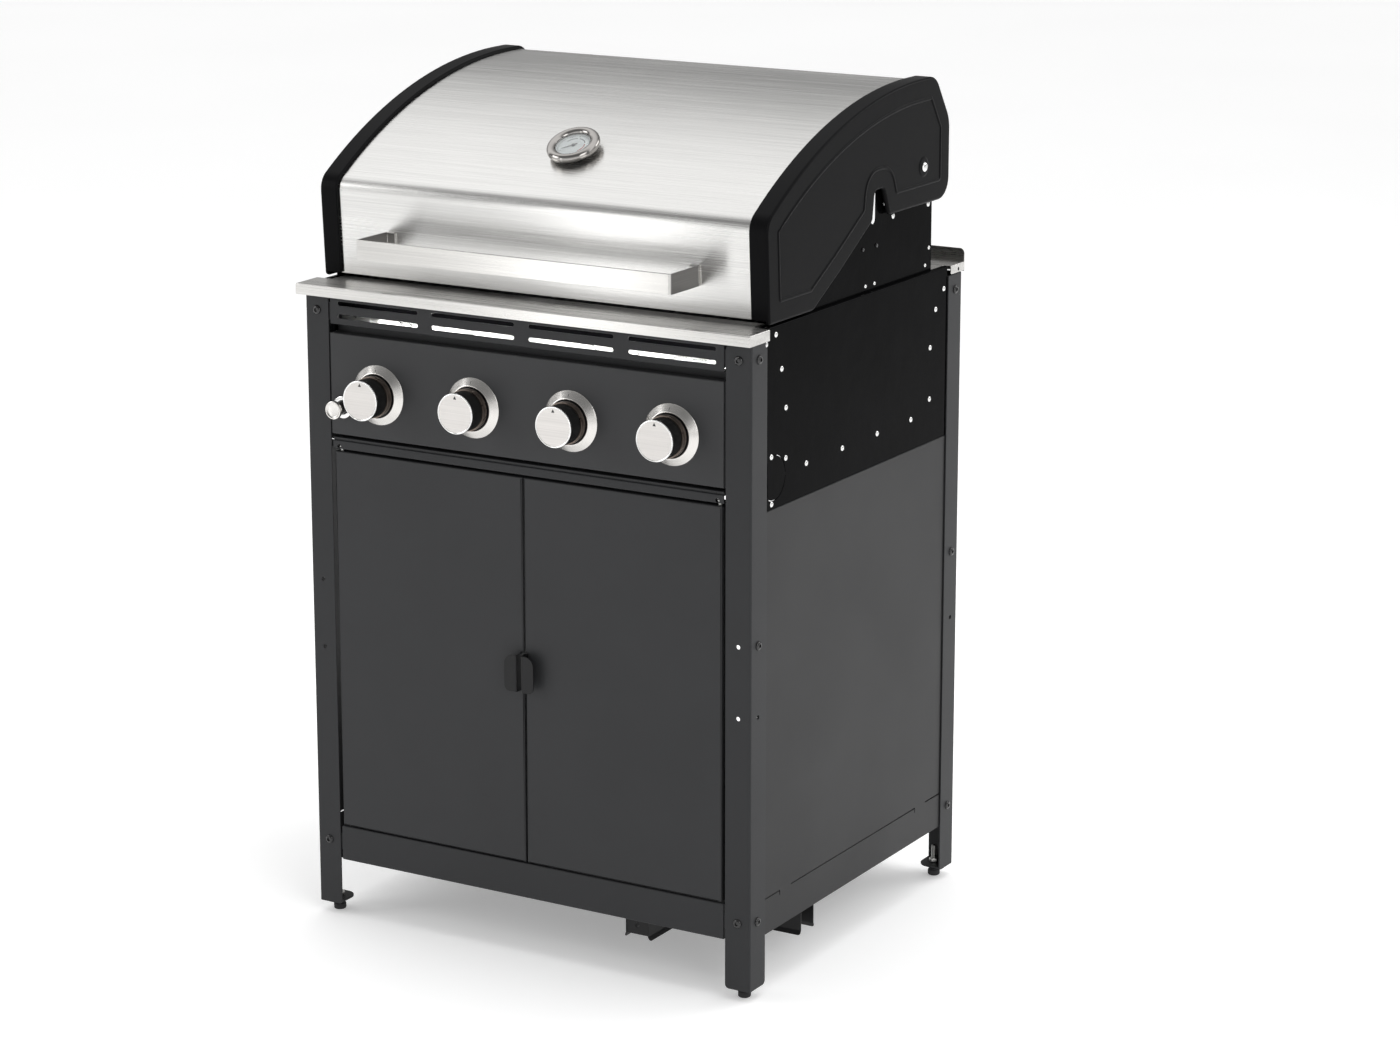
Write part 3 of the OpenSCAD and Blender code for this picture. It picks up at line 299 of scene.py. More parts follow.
BOLT_BLACK = powder("bolt_black", (0.006, 0.006, 0.0065), 0.22, 0.4, 0.00003, shine=0.6)
GLOSS = gloss_enamel("gloss_black", (0.0014, 0.0014, 0.0016), 0.14)
RUBBER = rubber("rubber", (0.018, 0.018, 0.019), 0.75)
IRON = cast("cast_iron", (0.022, 0.021, 0.021))
BOX_STEEL = dull_steel("firebox_steel", (0.62, 0.62, 0.6), 0.33)
BURNER_STEEL = dull_steel("burner_steel", (0.42, 0.4, 0.37), 0.42, 0.08)
TRAY_STEEL = dull_steel("tray_steel", (0.5, 0.5, 0.49), 0.38)
PIPE = dull_steel("pipe_steel", (0.2, 0.2, 0.2), 0.45, 0.08)
GLASS = plain_glass("gauge_glass")
DIAL = print_ink("dial_white", (0.72, 0.74, 0.74), 0.4)
INK = print_ink("ink_black", (0.02, 0.02, 0.02))
INK_GREY = print_ink("ink_grey", (0.11, 0.11, 0.115))
INK_RED = print_ink("ink_red", (0.42, 0.06, 0.04))


# ------------------------------------------------------------------ outlines in a plane

def unit2(x, y):
    d = math.hypot(x, y)
    return (x / d, y / d) if d > 1e-12 else (0.0, 0.0)


def area(loop):
    return sum(a[0] * b[1] - b[0] * a[1] for a, b in zip(loop, loop[1:] + loop[:1])) / 2


def ccw(loop):
    return list(loop) if area(list(loop)) > 0 else list(loop)[::-1]


def offset(loop, d):
    """Every corner moved by d to the left of the direction of travel."""
    n, out = len(loop), []
    for i in range(n):
        (ax, ay), (bx, by), (cx, cy) = loop[i - 1], loop[i], loop[(i + 1) % n]
        ux, uy = unit2(bx - ax, by - ay)
        vx, vy = unit2(cx - bx, cy - by)
        k = max(1 + ux * vx + uy * vy, 0.35)
        out.append((bx - (uy + vy) * d / k, by + (ux + vx) * d / k))
    return out


def corner(a, b, c, r, steps=None):
    """Points of the arc of radius r that rounds corner b between a and c."""
    if r <= 0:
        return [tuple(b[:2])]
    ux, uy = unit2(b[0] - a[0], b[1] - a[1])
    wx, wy = unit2(c[0] - b[0], c[1] - b[1])
    cross, dot = ux * wy - uy * wx, max(-1.0, min(1.0, ux * wx + uy * wy))
    half = math.acos(dot) / 2
    if half < 1e-4:
        return [tuple(b[:2])]
    s = 1 if cross > 0 else -1
    t = r * math.tan(half)
    nx, ny = -uy * s, ux * s
    cx, cy = b[0] - ux * t + nx * r, b[1] - uy * t + ny * r
    g = math.atan2(-ny, -nx)
    k = steps or max(2, math.ceil(math.degrees(2 * half) / 12))
    angles = [g + s * 2 * half * i / k for i in range(k + 1)]
    return [(cx + r * math.cos(a), cy + r * math.sin(a)) for a in angles]


def rounded(corners, steps=None):
    """A closed outline from corners (u, v, radius)."""
    n, out = len(corners), []
    for i in range(n):
        out += corner(corners[i - 1], corners[i], corners[(i + 1) % n], corners[i][2], steps)
    return out


def rect(u0, v0, u1, v1, r=0.0):
    return rounded([(u0, v0, r), (u1, v0, r), (u1, v1, r), (u0, v1, r)])


def disc(u, v, r, n=24):
    return [(u + r * math.cos(2 * math.pi * i / n), v + r * math.sin(2 * math.pi * i / n)) for i in range(n)]


def slot(u, v, length, height):
    """A long hole with round ends, along u."""
    h, out = (length - height) / 2, []
    for side, first in ((1, -90), (-1, 90)):
        out += [(u + side * h + height / 2 * math.cos(g), v + height / 2 * math.sin(g)) for g in sweep(first, 180, 8)]
    return out


def sweep(first, span, steps):
    """Angles in radians, from first on over span degrees."""
    return [math.radians(first + span * k / steps) for k in range(steps + 1)]

# ------------------------------------------------------------------ shapes

class Shape:
    """Collects closed solids, each with its own material, and makes one object of them."""

    def __init__(self, name, body, slot_name, *materials, stands_for=()):
        self.name, self.body, self.slot_name = name, body, slot_name
        self.materials, self.stands_for = materials, stands_for
        self.verts, self.faces, self.index = [], [], []

    def put(self, verts, faces, place=None, mat=0):
        start = len(self.verts)
        self.verts += [place(*v) if place else v for v in verts]
        self.faces += [[start + i for i in f] for f in faces]
        for f in faces:
            middle = sum((Vector(self.verts[start + i]) for i in f), Vector()) / len(f)
            self.index.append(mat(middle) if callable(mat) else mat)
        return self

    def done(self, sharp=50):
        mesh = bpy.data.meshes.new(self.name)
        mesh.from_pydata([metres(v) for v in self.verts], [], self.faces)
        for m in self.materials:
            mesh.materials.append(m)
        mesh.polygons.foreach_set("material_index", self.index)
        bm = bmesh.new()
        bm.from_mesh(mesh)
        bmesh.ops.recalc_face_normals(bm, faces=bm.faces)
        for f in bm.faces:
            f.smooth = True
        for e in bm.edges:
            if len(e.link_faces) == 2 and e.calc_face_angle(0) > math.radians(sharp):
                e.smooth = False
        bm.to_mesh(mesh)
        bm.free()
        obj = bpy.data.objects.new(self.name, mesh)
        bpy.context.scene.collection.objects.link(obj)
        mod = obj.modifiers.new("normals", "WEIGHTED_NORMAL")
        mod.keep_sharp = True
        mod.weight = 60
        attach(obj, self.body)
        if self.stands_for:
            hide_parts(*self.stands_for)
        return obj


def stand_in(node, suffix, slot_name, *materials, body="cabinet"):
    """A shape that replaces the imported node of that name."""
    return Shape(f"{node}_{suffix}", body, slot_name, *materials, stands_for=(node,))


def plate(outline, holes, t, edge=0.3):
    """A flat plate with holes, w from 0 to t, with rounded edges. Returns vertices (u, v, w) and faces."""
    edge = min(edge, t * 0.49)
    loops = [ccw(outline)] + [ccw(h)[::-1] for h in holes]
    near, far = 0.29 * edge, t - 0.29 * edge
    profile = [(edge, 0), (near, near), (0, edge), (0, t - edge), (near, far), (edge, t)]
    verts, faces, first, last = [], [], [], []
    flat = []
    for loop in loops:
        n = len(loop)
        starts = []
        for d, w in profile:
            starts.append(len(verts))
            verts += [(u, v, w) for u, v in (offset(loop, d) if d else loop)]
        for a, b in zip(starts, starts[1:]):
            faces += [[a + i, a + (i + 1) % n, b + (i + 1) % n, b + i] for i in range(n)]
        first += range(starts[0], starts[0] + n)
        last += range(starts[-1], starts[-1] + n)
        flat.append([Vector((*p, 0)) for p in offset(loop, edge)])
    for tri in tessellate_polygon(flat):
        faces.append([first[i] for i in tri])
        faces.append([last[i] for i in reversed(tri)])
    return verts, faces


class Fold:
    """A path in a plane that sheet metal follows. Its points lie on the outer face, the thickness to the left."""

    def __init__(self, points, radii):
        self.parts, s, here = [], 0.0, points[0]
        self.start, self.cut = [], []
        lead = 0.0
        for i in range(1, len(points)):
            a, b = points[i - 1], points[i]
            u = unit2(b[0] - a[0], b[1] - a[1])
            tail = 0.0
            if i < len(points) - 1:
                w = unit2(points[i + 1][0] - b[0], points[i + 1][1] - b[1])
                turn = math.atan2(u[0] * w[1] - u[1] * w[0], u[0] * w[0] + u[1] * w[1])
                r = radii[i - 1] if hasattr(radii, "__len__") else radii
                tail = r * math.tan(abs(turn) / 2)
            end = (b[0] - u[0] * tail, b[1] - u[1] * tail)
            length = math.hypot(end[0] - here[0], end[1] - here[1])
            self.start.append(s - lead)
            self.parts.append(("line", s, s + length, here, u, 0, 0))
            s += length
            here = end
            if tail:
                k = 1 if turn > 0 else -1
                centre = (here[0] - u[1] * k * r, here[1] + u[0] * k * r)
                self.parts.append(("arc", s, s + r * abs(turn), centre, u, k, r))
                steps = max(2, math.ceil(abs(math.degrees(turn)) / 15))
                self.cut += [s + r * abs(turn) * j / steps for j in range(steps + 1)]
                s += r * abs(turn)
                g = abs(turn) * k
                d = (u[0] * math.cos(g) - u[1] * math.sin(g), u[0] * math.sin(g) + u[1] * math.cos(g))
                here = (centre[0] + d[1] * k * r, centre[1] - d[0] * k * r)
                lead = tail
        self.length = s

    def s(self, segment, distance):
        """Where a point lies along the sheet: distance is from the segment's own sharp corner."""
        return self.start[segment] + distance

    def at(self, s, w):
        part = self.parts[0]
        for p in self.parts:
            if s >= p[1] - 1e-9:
                part = p
        kind, s0, _, base, u, k, r = part
        if kind == "line":
            x, y = base[0] + u[0] * (s - s0), base[1] + u[1] * (s - s0)
            return x - u[1] * w, y + u[0] * w
        g = k * (s - s0) / r
        d = (u[0] * math.cos(g) - u[1] * math.sin(g), u[0] * math.sin(g) + u[1] * math.cos(g))
        rr = r - k * w
        return base[0] + d[1] * k * rr, base[1] - d[0] * k * rr

    def sheet(self, outline, holes, t, edge=0.3):
        """A sheet of thickness t, cut flat to outline with holes (s, v), then folded. Vertices are (a, b, v)."""
        verts, faces = plate(outline, holes, t, edge)
        bm = bmesh.new()
        vs = [bm.verts.new(v) for v in verts]
        for f in faces:
            bm.faces.new([vs[i] for i in f])
        for s in self.cut:
            parts = bm.verts[:] + bm.edges[:] + bm.faces[:]
            bmesh.ops.bisect_plane(bm, geom=parts, dist=1e-4, plane_co=(s, 0, 0), plane_no=(1, 0, 0))
        bm.verts.index_update()
        out = [(*self.at(v.co.x, v.co.z), v.co.y) for v in bm.verts]
        polys = [[v.index for v in f.verts] for f in bm.faces]
        bm.free()
        return out, polys


def lathe(profile, steps=48, radius=None):
    """A solid of revolution about +w from (r, w) points. A point with r = 0 closes the end."""
    verts, faces, rings = [], [], []
    for i, (r, w) in enumerate(profile):
        if r <= 1e-9:
            rings.append([len(verts)])
            verts.append((0, 0, w))
        else:
            rings.append(list(range(len(verts), len(verts) + steps)))
            for k in range(steps):
                g = 2 * math.pi * k / steps
                q = radius(r, g, i) if radius else r
                verts.append((q * math.cos(g), q * math.sin(g), w))
    for a, b in zip(rings, rings[1:]):
        for k in range(steps):
            j = (k + 1) % steps
            if len(a) == 1 and len(b) == 1:
                continue
            if len(a) == 1:
                faces.append([a[0], b[j], b[k]])
            elif len(b) == 1:
                faces.append([a[k], a[j], b[0]])
            else:
                faces.append([a[k], a[j], b[j], b[k]])
    return verts, faces


def tube_wall(profile, steps=48, radius=None):
    """A closed ring of revolution: the profile is a closed outline clear of the axis."""
    verts, faces = lathe(list(profile) + [profile[0]], steps, radius)
    n = len(verts) - steps
    return verts[:n], [[i if i < n else i - n for i in f] for f in faces]


def loft(rings, cap=True):
    """Closed rings of equal count joined in order, with a cap on the first and last."""
    n = len(rings[0])
    verts = [p for ring in rings for p in ring]
    faces = []
    for k in range(len(rings) - 1):
        a, b = k * n, (k + 1) * n
        faces += [[a + i, a + (i + 1) % n, b + (i + 1) % n, b + i] for i in range(n)]
    if cap:
        faces.append(list(range(n))[::-1])
        faces.append(list(range((len(rings) - 1) * n, len(rings) * n)))
    return verts, faces


# Ways to place local (u, v, w) in the grill's own millimetres. side = -1 mirrors them to the left.

def facing_front(y, side=1, x=0, z=0):
    """u is X, v is Z, w goes back from the plane at y."""
    return lambda u, v, w: (side * (x + u), y + w, z + v)


def facing_side(x, side=1):
    """u is Y, v is Z, w goes inwards from the plane at |x|."""
    return lambda u, v, w: (side * (x - w), u, v)


def drawn_across(x, side=1):
    """u is Y, v is Z, w goes outwards from x."""
    return lambda u, v, w: (side * (x + w), u, v)


def lying(z, side=1):
    """u is X, v is Y, w goes up from z."""
    return lambda u, v, w: (side * u, v, z + w)


def axis_front(x, y, z):
    """A lathe axis that points to the front, -Y, from y."""
    return lambda u, v, w: (x + u, y - w, z + v)


def axis_side(x, y, z, side=1):
    """A lathe axis that points outwards along X from |x|."""
    return lambda u, v, w: (side * (x + w), y + u * side, z + v)


def axis_up(x, y, z, way=1):
    """A lathe axis that points up, or down with way = -1."""
    return lambda u, v, w: (x + u, y + v, z + way * w)


def fold_across(a, b, v):
    """A fold drawn in the Y-Z plane, along X."""
    return v, a, b


def fold_back(a, b, v):
    """A fold drawn in the X-Z plane, along Y."""
    return a, v, b


def hexagon(r, g):
    """Radius at angle g of a hexagon with inner radius r."""
    g = (g + math.pi / 6) % (math.pi / 3) - math.pi / 6
    return r / math.cos(g)


# ------------------------------------------------------------------ fasteners and small turned pieces

def add_head(shape, place, r=6.5, h=3.0, socket=2.4, depth=1.9):
    """A button head with a hexagon socket, standing on w = 0."""
    rings = [(0, -0.4), (r * 0.97, -0.4), (r, 0), (r, h * 0.22), (r * 0.965, h * 0.42), (r * 0.86, h * 0.72),
             (r * 0.7, h * 0.92), (r * 0.55, h), (socket * 1.12, h), (socket, h - 0.3), (socket, h - depth),
             (0, h - depth - 0.3)]
    hexed = (8, 9, 10)
    shape.put(*lathe(rings, 36, lambda q, g, i: hexagon(q, g) if i in hexed else q), place)


def add_nut(shape, place, r=6.0, h=4.0, mat=0):
    rings = [(0, 0), (r * 0.86, 0), (r * 0.98, h * 0.14), (r * 0.98, h * 0.86), (r * 0.86, h), (0, h)]
    flats = (2, 3)
    shape.put(*lathe(rings, 36, lambda q, g, i: min(q * 1.02, hexagon(r * 0.88, g)) if i in flats else q), place, mat)


def add_thread(shape, place, r, low, high, pitch=1.5, mat=0):
    rings, w = [(0, low), (r * 0.8, low)], low + 0.4
    while w + pitch < high:
        rings += [(r * 0.87, w), (r, w + pitch * 0.45), (r, w + pitch * 0.55), (r * 0.87, w + pitch)]
        w += pitch
    rings += [(r * 0.8, high), (0, high)]
    shape.put(*lathe(rings, 20), place, mat)


def add_rivet(shape, place, r=4.0, h=1.8, mat=0):
    rings = [(0, -0.3), (r * 0.9, -0.3), (r, 0.05), (r * 0.985, 0.3), (r * 0.88, h * 0.5), (r * 0.66, h * 0.8),
             (r * 0.36, h * 0.96), (0, h)]
    shape.put(*lathe(rings, 24), place, mat)


SIDES = (("left", -1), ("right", 1))
ENDS = (("front", 1), ("rear", -1))


def quarter(side, end):
    """Mirrors a front right point to another corner of the frame."""
    return lambda x, y, z: (side * x, end * y, z)


# ------------------------------------------------------------------ legs and feet

LEG_X, LEG_Y, LEG_T = 360, 305, 2.0             # outer faces of the leg frame, from its middle
FLANGE_X, FLANGE_Y = 321, 263                   # where the legs' flanges end
LEG_LOW, LEG_HIGH = 15.5, 914.5
BOLT_X, BOLT_Y, BOLT_HOLE = 340.5, 284.5, 3.2
BOLT_LOW, BOLT_HIGH = 112, 892
BOLT_ROWS = (BOLT_LOW, 402, 502, BOLT_HIGH)
FOOT_X, FOOT_Y, PAD_Z = 340, 284, 17.5
SHEET = 1.5                                     # thickness of the cabinet's sheet


def make_leg(end_name, end, side_name, side):
    shape = stand_in(f"leg_{end_name}_{side_name}", "sheet", "frame_coat", FRAME_COAT)
    fold = Fold([(FLANGE_X, -LEG_Y), (LEG_X, -LEG_Y), (LEG_X, -FLANGE_Y)], 3.0)
    end_s = fold.length
    side_top = [(end_s, LEG_HIGH, 3)]
    if end_name == "front":
        notch = [(end_s + 4.5 * math.cos(a), 908 + 4.5 * math.sin(a), 0) for a in sweep(-90, -180, 12)]
        side_top = notch + [(end_s, LEG_HIGH, 0.5)]
    outline = rounded([(0, LEG_LOW, 6), (end_s, LEG_LOW, 6)] + side_top + [(0, LEG_HIGH, 10)])
    middles = fold.s(0, BOLT_X - FLANGE_X), fold.s(1, LEG_Y - BOLT_Y)
    holes = [disc(u, z, BOLT_HOLE) for u in middles for z in BOLT_ROWS]
    flip = quarter(side, end)
    shape.put(*fold.sheet(outline, holes, LEG_T), flip)
    tab = rounded([(321.5, -303.2, 0), (321.5, -263, 18), (358.1, -263, 2), (358.1, -303.2, 0)])
    shape.put(*plate(tab, [disc(FOOT_X, -FOOT_Y, 4.05)], 2.5), lambda a, b, w: flip(a, b, PAD_Z + w))
    return shape.done()


def make_foot(end_name, end, side_name, side):
    name = f"foot_{end_name}_{side_name}"
    shape = stand_in(name, "pad", "rubber", RUBBER, ZINC, body=name)
    x, y = side * FOOT_X, -end * FOOT_Y
    pad = [(0, 0), (6.5, 0), (7.4, 0.15), (8.3, 0.7), (8.9, 1.6), (9, 2.6), (9, 7.6), (8.7, 8.4), (7.9, 8.8),
           (7.6, 9.2), (7.6, 10.2), (7.2, 10.8), (6.4, 11), (0, 11)]
    shape.put(*lathe(pad, 40), axis_up(x, y, 0))
    add_thread(shape, axis_up(x, y, 0), 4.0, 10.5, 46, 1.25, 1)
    add_nut(shape, axis_up(x, y, PAD_Z + 3), 7.4, 6.0, 1)
    return shape.done(40)


for end_name, end in ENDS:
    for side_name, side in SIDES:
        make_leg(end_name, end, side_name, side)
        make_foot(end_name, end, side_name, side)


# ------------------------------------------------------------------ front rails and control panel

FACE, OPEN, RAIL_BACK = -304.5, 318.0, -284.5   # front rails: their face, half their width, their rear edge
BURNERS = [(k - 1.5) * 158.6 for k in range(4)]
KNOB_Z, PANEL_Y = 781.0, -305.5
IGNITER = (-299.0, 757.0)
PIN_X, PIN_Y, PIN_HOLE = 308.0, -296.0, 3.1     # door hinge pins


def strip_fold(shape, points, radii, holes=(), t=SHEET):
    """A folded strip across the front. A hole is (segment, distance, x, maker of its outline)."""
    fold = Fold(points, radii)
    cut = [make(fold.s(segment, distance), x) for segment, distance, x, make in holes]
    shape.put(*fold.sheet(rect(0, -OPEN, fold.length, OPEN), cut, t), fold_across)


def hole(r):
    return lambda s, x: disc(s, x, r)


def vent_slot(s, x):
    return [(v, u) for u, v in slot(x, s, 135.6, 6)]


def bolt_tabs(shape, z):
    """The tabs that hold a front rail behind the legs."""
    for side in (-1, 1):
        tab = rect(306, z - 12, 354, z + 12, 3)
        shape.put(*plate(tab, [disc(BOLT_X, z, BOLT_HOLE)], SHEET), facing_front(-303, side))


vent = stand_in("vent_rail", "sheet", "frame_coat", FRAME_COAT)
VENT_TOP = 913.5
strip_fold(vent, [(FACE, VENT_TOP), (FACE, 874), (-286.5, 874), (-286.5, 854)], [2.4, 1.2],
           [(0, VENT_TOP - z, x, vent_slot) for x in BURNERS for z in (904, 886)])
bolt_tabs(vent, BOLT_HIGH)
vent.done()

panel = stand_in("control_panel", "sheet", "panel_coat", CONTROL_COAT)
PANEL_LOW, PANEL_HIGH = 717, 862
strip_fold(panel, [(-287, PANEL_HIGH), (PANEL_Y, PANEL_HIGH), (PANEL_Y, PANEL_LOW), (-290.5, PANEL_LOW)], 2.2,
           [(1, PANEL_HIGH - KNOB_Z, x, hole(10)) for x in BURNERS]
           + [(1, PANEL_HIGH - IGNITER[1], IGNITER[0], hole(10.3))])
edge = Fold([(312.4, -304.2), (312.4, -302.5), (333, -302.5)], 0.8)
for side in (-1, 1):
    outline = rect(0, PANEL_LOW + 0.4, edge.length, PANEL_HIGH - 0.4, 1)
    panel.put(*edge.sheet(outline, [], SHEET), quarter(side, 1))
panel.done()

header = stand_in("header_rail", "sheet", "frame_coat", FRAME_COAT)
strip_fold(header, [(RAIL_BACK, 724), (RAIL_BACK, 708), (FACE, 708), (FACE, 695.5), (RAIL_BACK, 695.5),
                    (RAIL_BACK, 684)],
           [1.6, 2.0, 2.0, 1.6], [(2, PIN_Y - FACE, x, hole(PIN_HOLE)) for x in (-PIN_X, PIN_X)])
strip_fold(header, [(-300.5, 706.5), (-300.5, 710.2)], 1.0)
strip_fold(header, [(-292.5, 712.5), (FACE, 712.5), (FACE, 710.0), (-292.5, 710.0)], 1.1, t=1.0)
header.done()

lower = stand_in("lower_front_rail", "sheet", "frame_coat", FRAME_COAT)
SKIRT_LOW = 84.5
strip_fold(lower, [(RAIL_BACK, 136), (FACE, 136), (FACE, SKIRT_LOW), (RAIL_BACK, SKIRT_LOW)], 2.2,
           [(0, RAIL_BACK - PIN_Y, x, hole(PIN_HOLE)) for x in (-PIN_X, PIN_X)])
bolt_tabs(lower, BOLT_LOW)
lower.done()

rear = stand_in("rear_rails", "sheet", "frame_coat", FRAME_COAT)
for low, z in ((SKIRT_LOW, BOLT_LOW), (863.5, BOLT_HIGH)):
    holes = [disc(x, z, BOLT_HOLE) for x in (-BOLT_X, BOLT_X)]
    rear.put(*plate(rect(-354, low, 354, low + 50, 2), holes, SHEET), facing_front(301.5))
rear.done()


# ------------------------------------------------------------------ side panels

PANEL_X, SEAM_Z = 358, 681                      # the side panels' outer faces and the seam between them
RIVETS = [(-263, 908), (-209, 744), (-209, 813), (-221, 868), (-237, 917), (-248, 753), (-247, 688),
          (-152, 725), (-50, 725), (52, 725), (154, 725), (211, 744), (211, 819), (227, 872), (252, 898)]
WALL_RIVETS = ((107.7, 1024, 4.2), (214.5, 1025.6, 4.2), (27.5, 937, 3), (54, 937, 3), (207, 938, 3), (218, 962, 3))
WALL_X = 350                                    # the firebox side walls' outer faces
HINGE_Y, HINGE_Z = 179.0, 1084.0
RACK_Y, RACK_Z = (18.6, 58.4), 990              # the wires that carry the warming rack


def arc_slit(cy, cz, r, g0, g1, w=0.9):
    """A narrow slit along an arc, between two angles in degrees."""
    angles = sweep(g0, g1 - g0, 18)
    outer, inner = ([(cy + q * math.cos(a), cz + q * math.sin(a)) for a in angles] for q in (r + w / 2, r - w / 2))
    return outer + inner[::-1]


def lower_panel(side_name, side):
    shape = stand_in(f"side_panel_{side_name}", "sheet", "panel_coat", SIDE_COAT)
    low, high, tick = 135, 136.8, 129
    slits = [[(y0, low), (y1 - 1.6, low), (y1 - 1.6, tick), (y1, tick), (y1, high), (y0, high)]
             for y0, y1 in ((-261, -218), (-187, 184))]
    slits.append([(216, low), (261, low), (261, high), (216, high)])
    holes = [disc(y, z, BOLT_HOLE) for y in (-BOLT_Y, BOLT_Y) for z in BOLT_ROWS[:3]]
    shape.put(*plate(rect(-297, SKIRT_LOW, 297, SEAM_Z - 1, 2), slits + holes, SHEET), facing_side(PANEL_X, side))
    shape.put(*plate(rect(-262, 664, 262, 684.5, 2), [], 1.2), facing_side(356.45, side))
    shape.done()


def upper_panel(side_name, side):
    shape = stand_in(f"upper_panel_{side_name}", "sheet", "gloss_black", GLOSS)
    fold = Fold([(PANEL_X, SEAM_Z), (PANEL_X, 929), (350.1, 929)], 2.2)
    height = lambda z: fold.s(0, z - SEAM_Z)
    top, wide, slim = height(915), 297, 262
    outline = rounded([(0, -wide, 2), (0, wide, 2), (top, wide, 3), (top, slim, 3), (fold.length, slim, 3),
                       (fold.length, -slim, 3), (top, -slim, 3), (top, -wide, 3)])
    knock = [arc_slit(-241, 723, 31, g0, g1) for g0, g1 in ((-116, -4), (4, 116))]
    knock.append([(-258.4, 700), (-257.5, 700), (-257.5, 746), (-258.4, 746)])
    holes = [[(height(z), y) for y, z in loop] for loop in knock]
    holes += [disc(height(BOLT_HIGH), y, BOLT_HOLE) for y in (-BOLT_Y, BOLT_Y)]
    shape.put(*fold.sheet(outline, holes, SHEET), lambda a, b, v: (side * a, v, b))
    shape.done()


def firebox_side(side_name, side):
    shape = stand_in(f"firebox_side_{side_name}", "sheet", "gloss_black", GLOSS, CHROME)
    ear = [(HINGE_Y - 20 * math.cos(a), HINGE_Z + 20 * math.sin(a), 0) for a in sweep(0, 180, 15)]
    spit = [(49 - 7 * math.cos(a), 1028 - 7 * math.sin(a), 0) for a in sweep(0, 180, 9)]
    outline = rounded([(-243, 752, 0), (-243, 942, 10), (-60, 980, 20), (-8, 1016, 6), (-8, 1078, 6), (42, 1078, 1.5)]
                      + spit + [(56, 1078, 1.5), (80, 1078, 6), (80, 1040, 6), (139, 1040, 20)] + ear
                      + [(226, 1031, 6), (226, 752, 0)])
    holes = [disc(HINGE_Y, HINGE_Z, 4.05)] + [disc(y, RACK_Z, 3.2) for y in RACK_Y]
    shape.put(*plate(outline, holes, SHEET), facing_side(WALL_X, side))
    for y, z, r in WALL_RIVETS:
        add_rivet(shape, axis_side(WALL_X, y, z, side), r, 1.6, 1)
    shape.done()


for side_name, side in SIDES:
    lower_panel(side_name, side)
    upper_panel(side_name, side)
    firebox_side(side_name, side)

rivets = stand_in("panel_rivets", "domed", "chrome", CHROME)
bolts = stand_in("frame_bolts", "button", "black_bolts", BOLT_BLACK)


def front_bolt(side, end, z):
    return lambda depth, way: lambda u, v, w: (side * (BOLT_X + u), end * (LEG_Y - depth + way * w), z + v)


def side_bolt(side, end, z):
    return lambda depth, way: lambda u, v, w: (side * (LEG_X - depth + way * w), end * (BOLT_Y + u), z + v)


def add_bolt(place):
    """A button head outside and a nut inside. place(depth, way) starts below the leg's face and runs out or in."""
    add_head(bolts, place(0, 1))
    add_nut(bolts, place(3.5, -1))
    add_thread(bolts, place(2, -1), 3, 0, 7)


for side in (-1, 1):
    for y, z in RIVETS:
        add_rivet(rivets, axis_side(PANEL_X, y, z, side))
    for end in (-1, 1):
        for z in (BOLT_LOW, BOLT_HIGH):
            add_bolt(front_bolt(side, end, z))
        for z in (BOLT_LOW, 502, BOLT_HIGH):
            add_bolt(side_bolt(side, end, z))
rivets.done(60)
bolts.done(40)


# ------------------------------------------------------------------ countertop, rear shelf, cabinet floor

def rolled_edge(r, t, face_t, steps):
    """The outer round of a rolled edge and the inner one, as (inset, w)."""
    q = max(r - t, 0.3)
    outer = [(r - r * math.sin(a), r - r * math.cos(a)) for a in sweep(0, 90, steps)]
    inner = [(t + q - q * math.sin(a), face_t + q - q * math.cos(a)) for a in sweep(0, 90, steps)]
    return outer, inner[::-1]


def filled(rings):
    """Rings joined in order, with the first and the last outline filled."""
    verts, faces = loft(rings, cap=False)
    for start, ring in ((0, rings[0]), (len(verts) - len(rings[0]), rings[-1])):
        for tri in tessellate_polygon([[Vector((u, v, 0)) for u, v, _ in ring]]):
            faces.append([start + i for i in tri])
    return verts, faces


def pan(outline, depth, t, r):
    """A tray-shaped sheet: a face with returns all round. w = 0 is the face's outer side."""
    loop = ccw(outline)
    outer, inner = rolled_edge(r, t, t, 3)
    rows = outer + [(0, depth - 0.3), (0.3, depth), (t - 0.3, depth), (t, depth - 0.3)] + inner
    return filled([[(u, v, w) for u, v in (offset(loop, d) if d else loop)] for d, w in rows])


top = stand_in("countertop", "sheet", "stainless", STEEL_X)
TOP_Z, STEEL_T = 930, 1.2
outline = rounded([(-366, -320, 1.2), (366, -320, 1.2), (366, -267, 0.6), (342, -267, 0.6), (342, -236.7, 0.6),
                   (-342, -236.7, 0.6), (-342, -267, 0.6), (-366, -267, 0.6)], 3)
top.put(*pan(outline, 15.5, STEEL_T, 1.9), lambda u, v, w: (u, v, TOP_Z - w))
top.done()

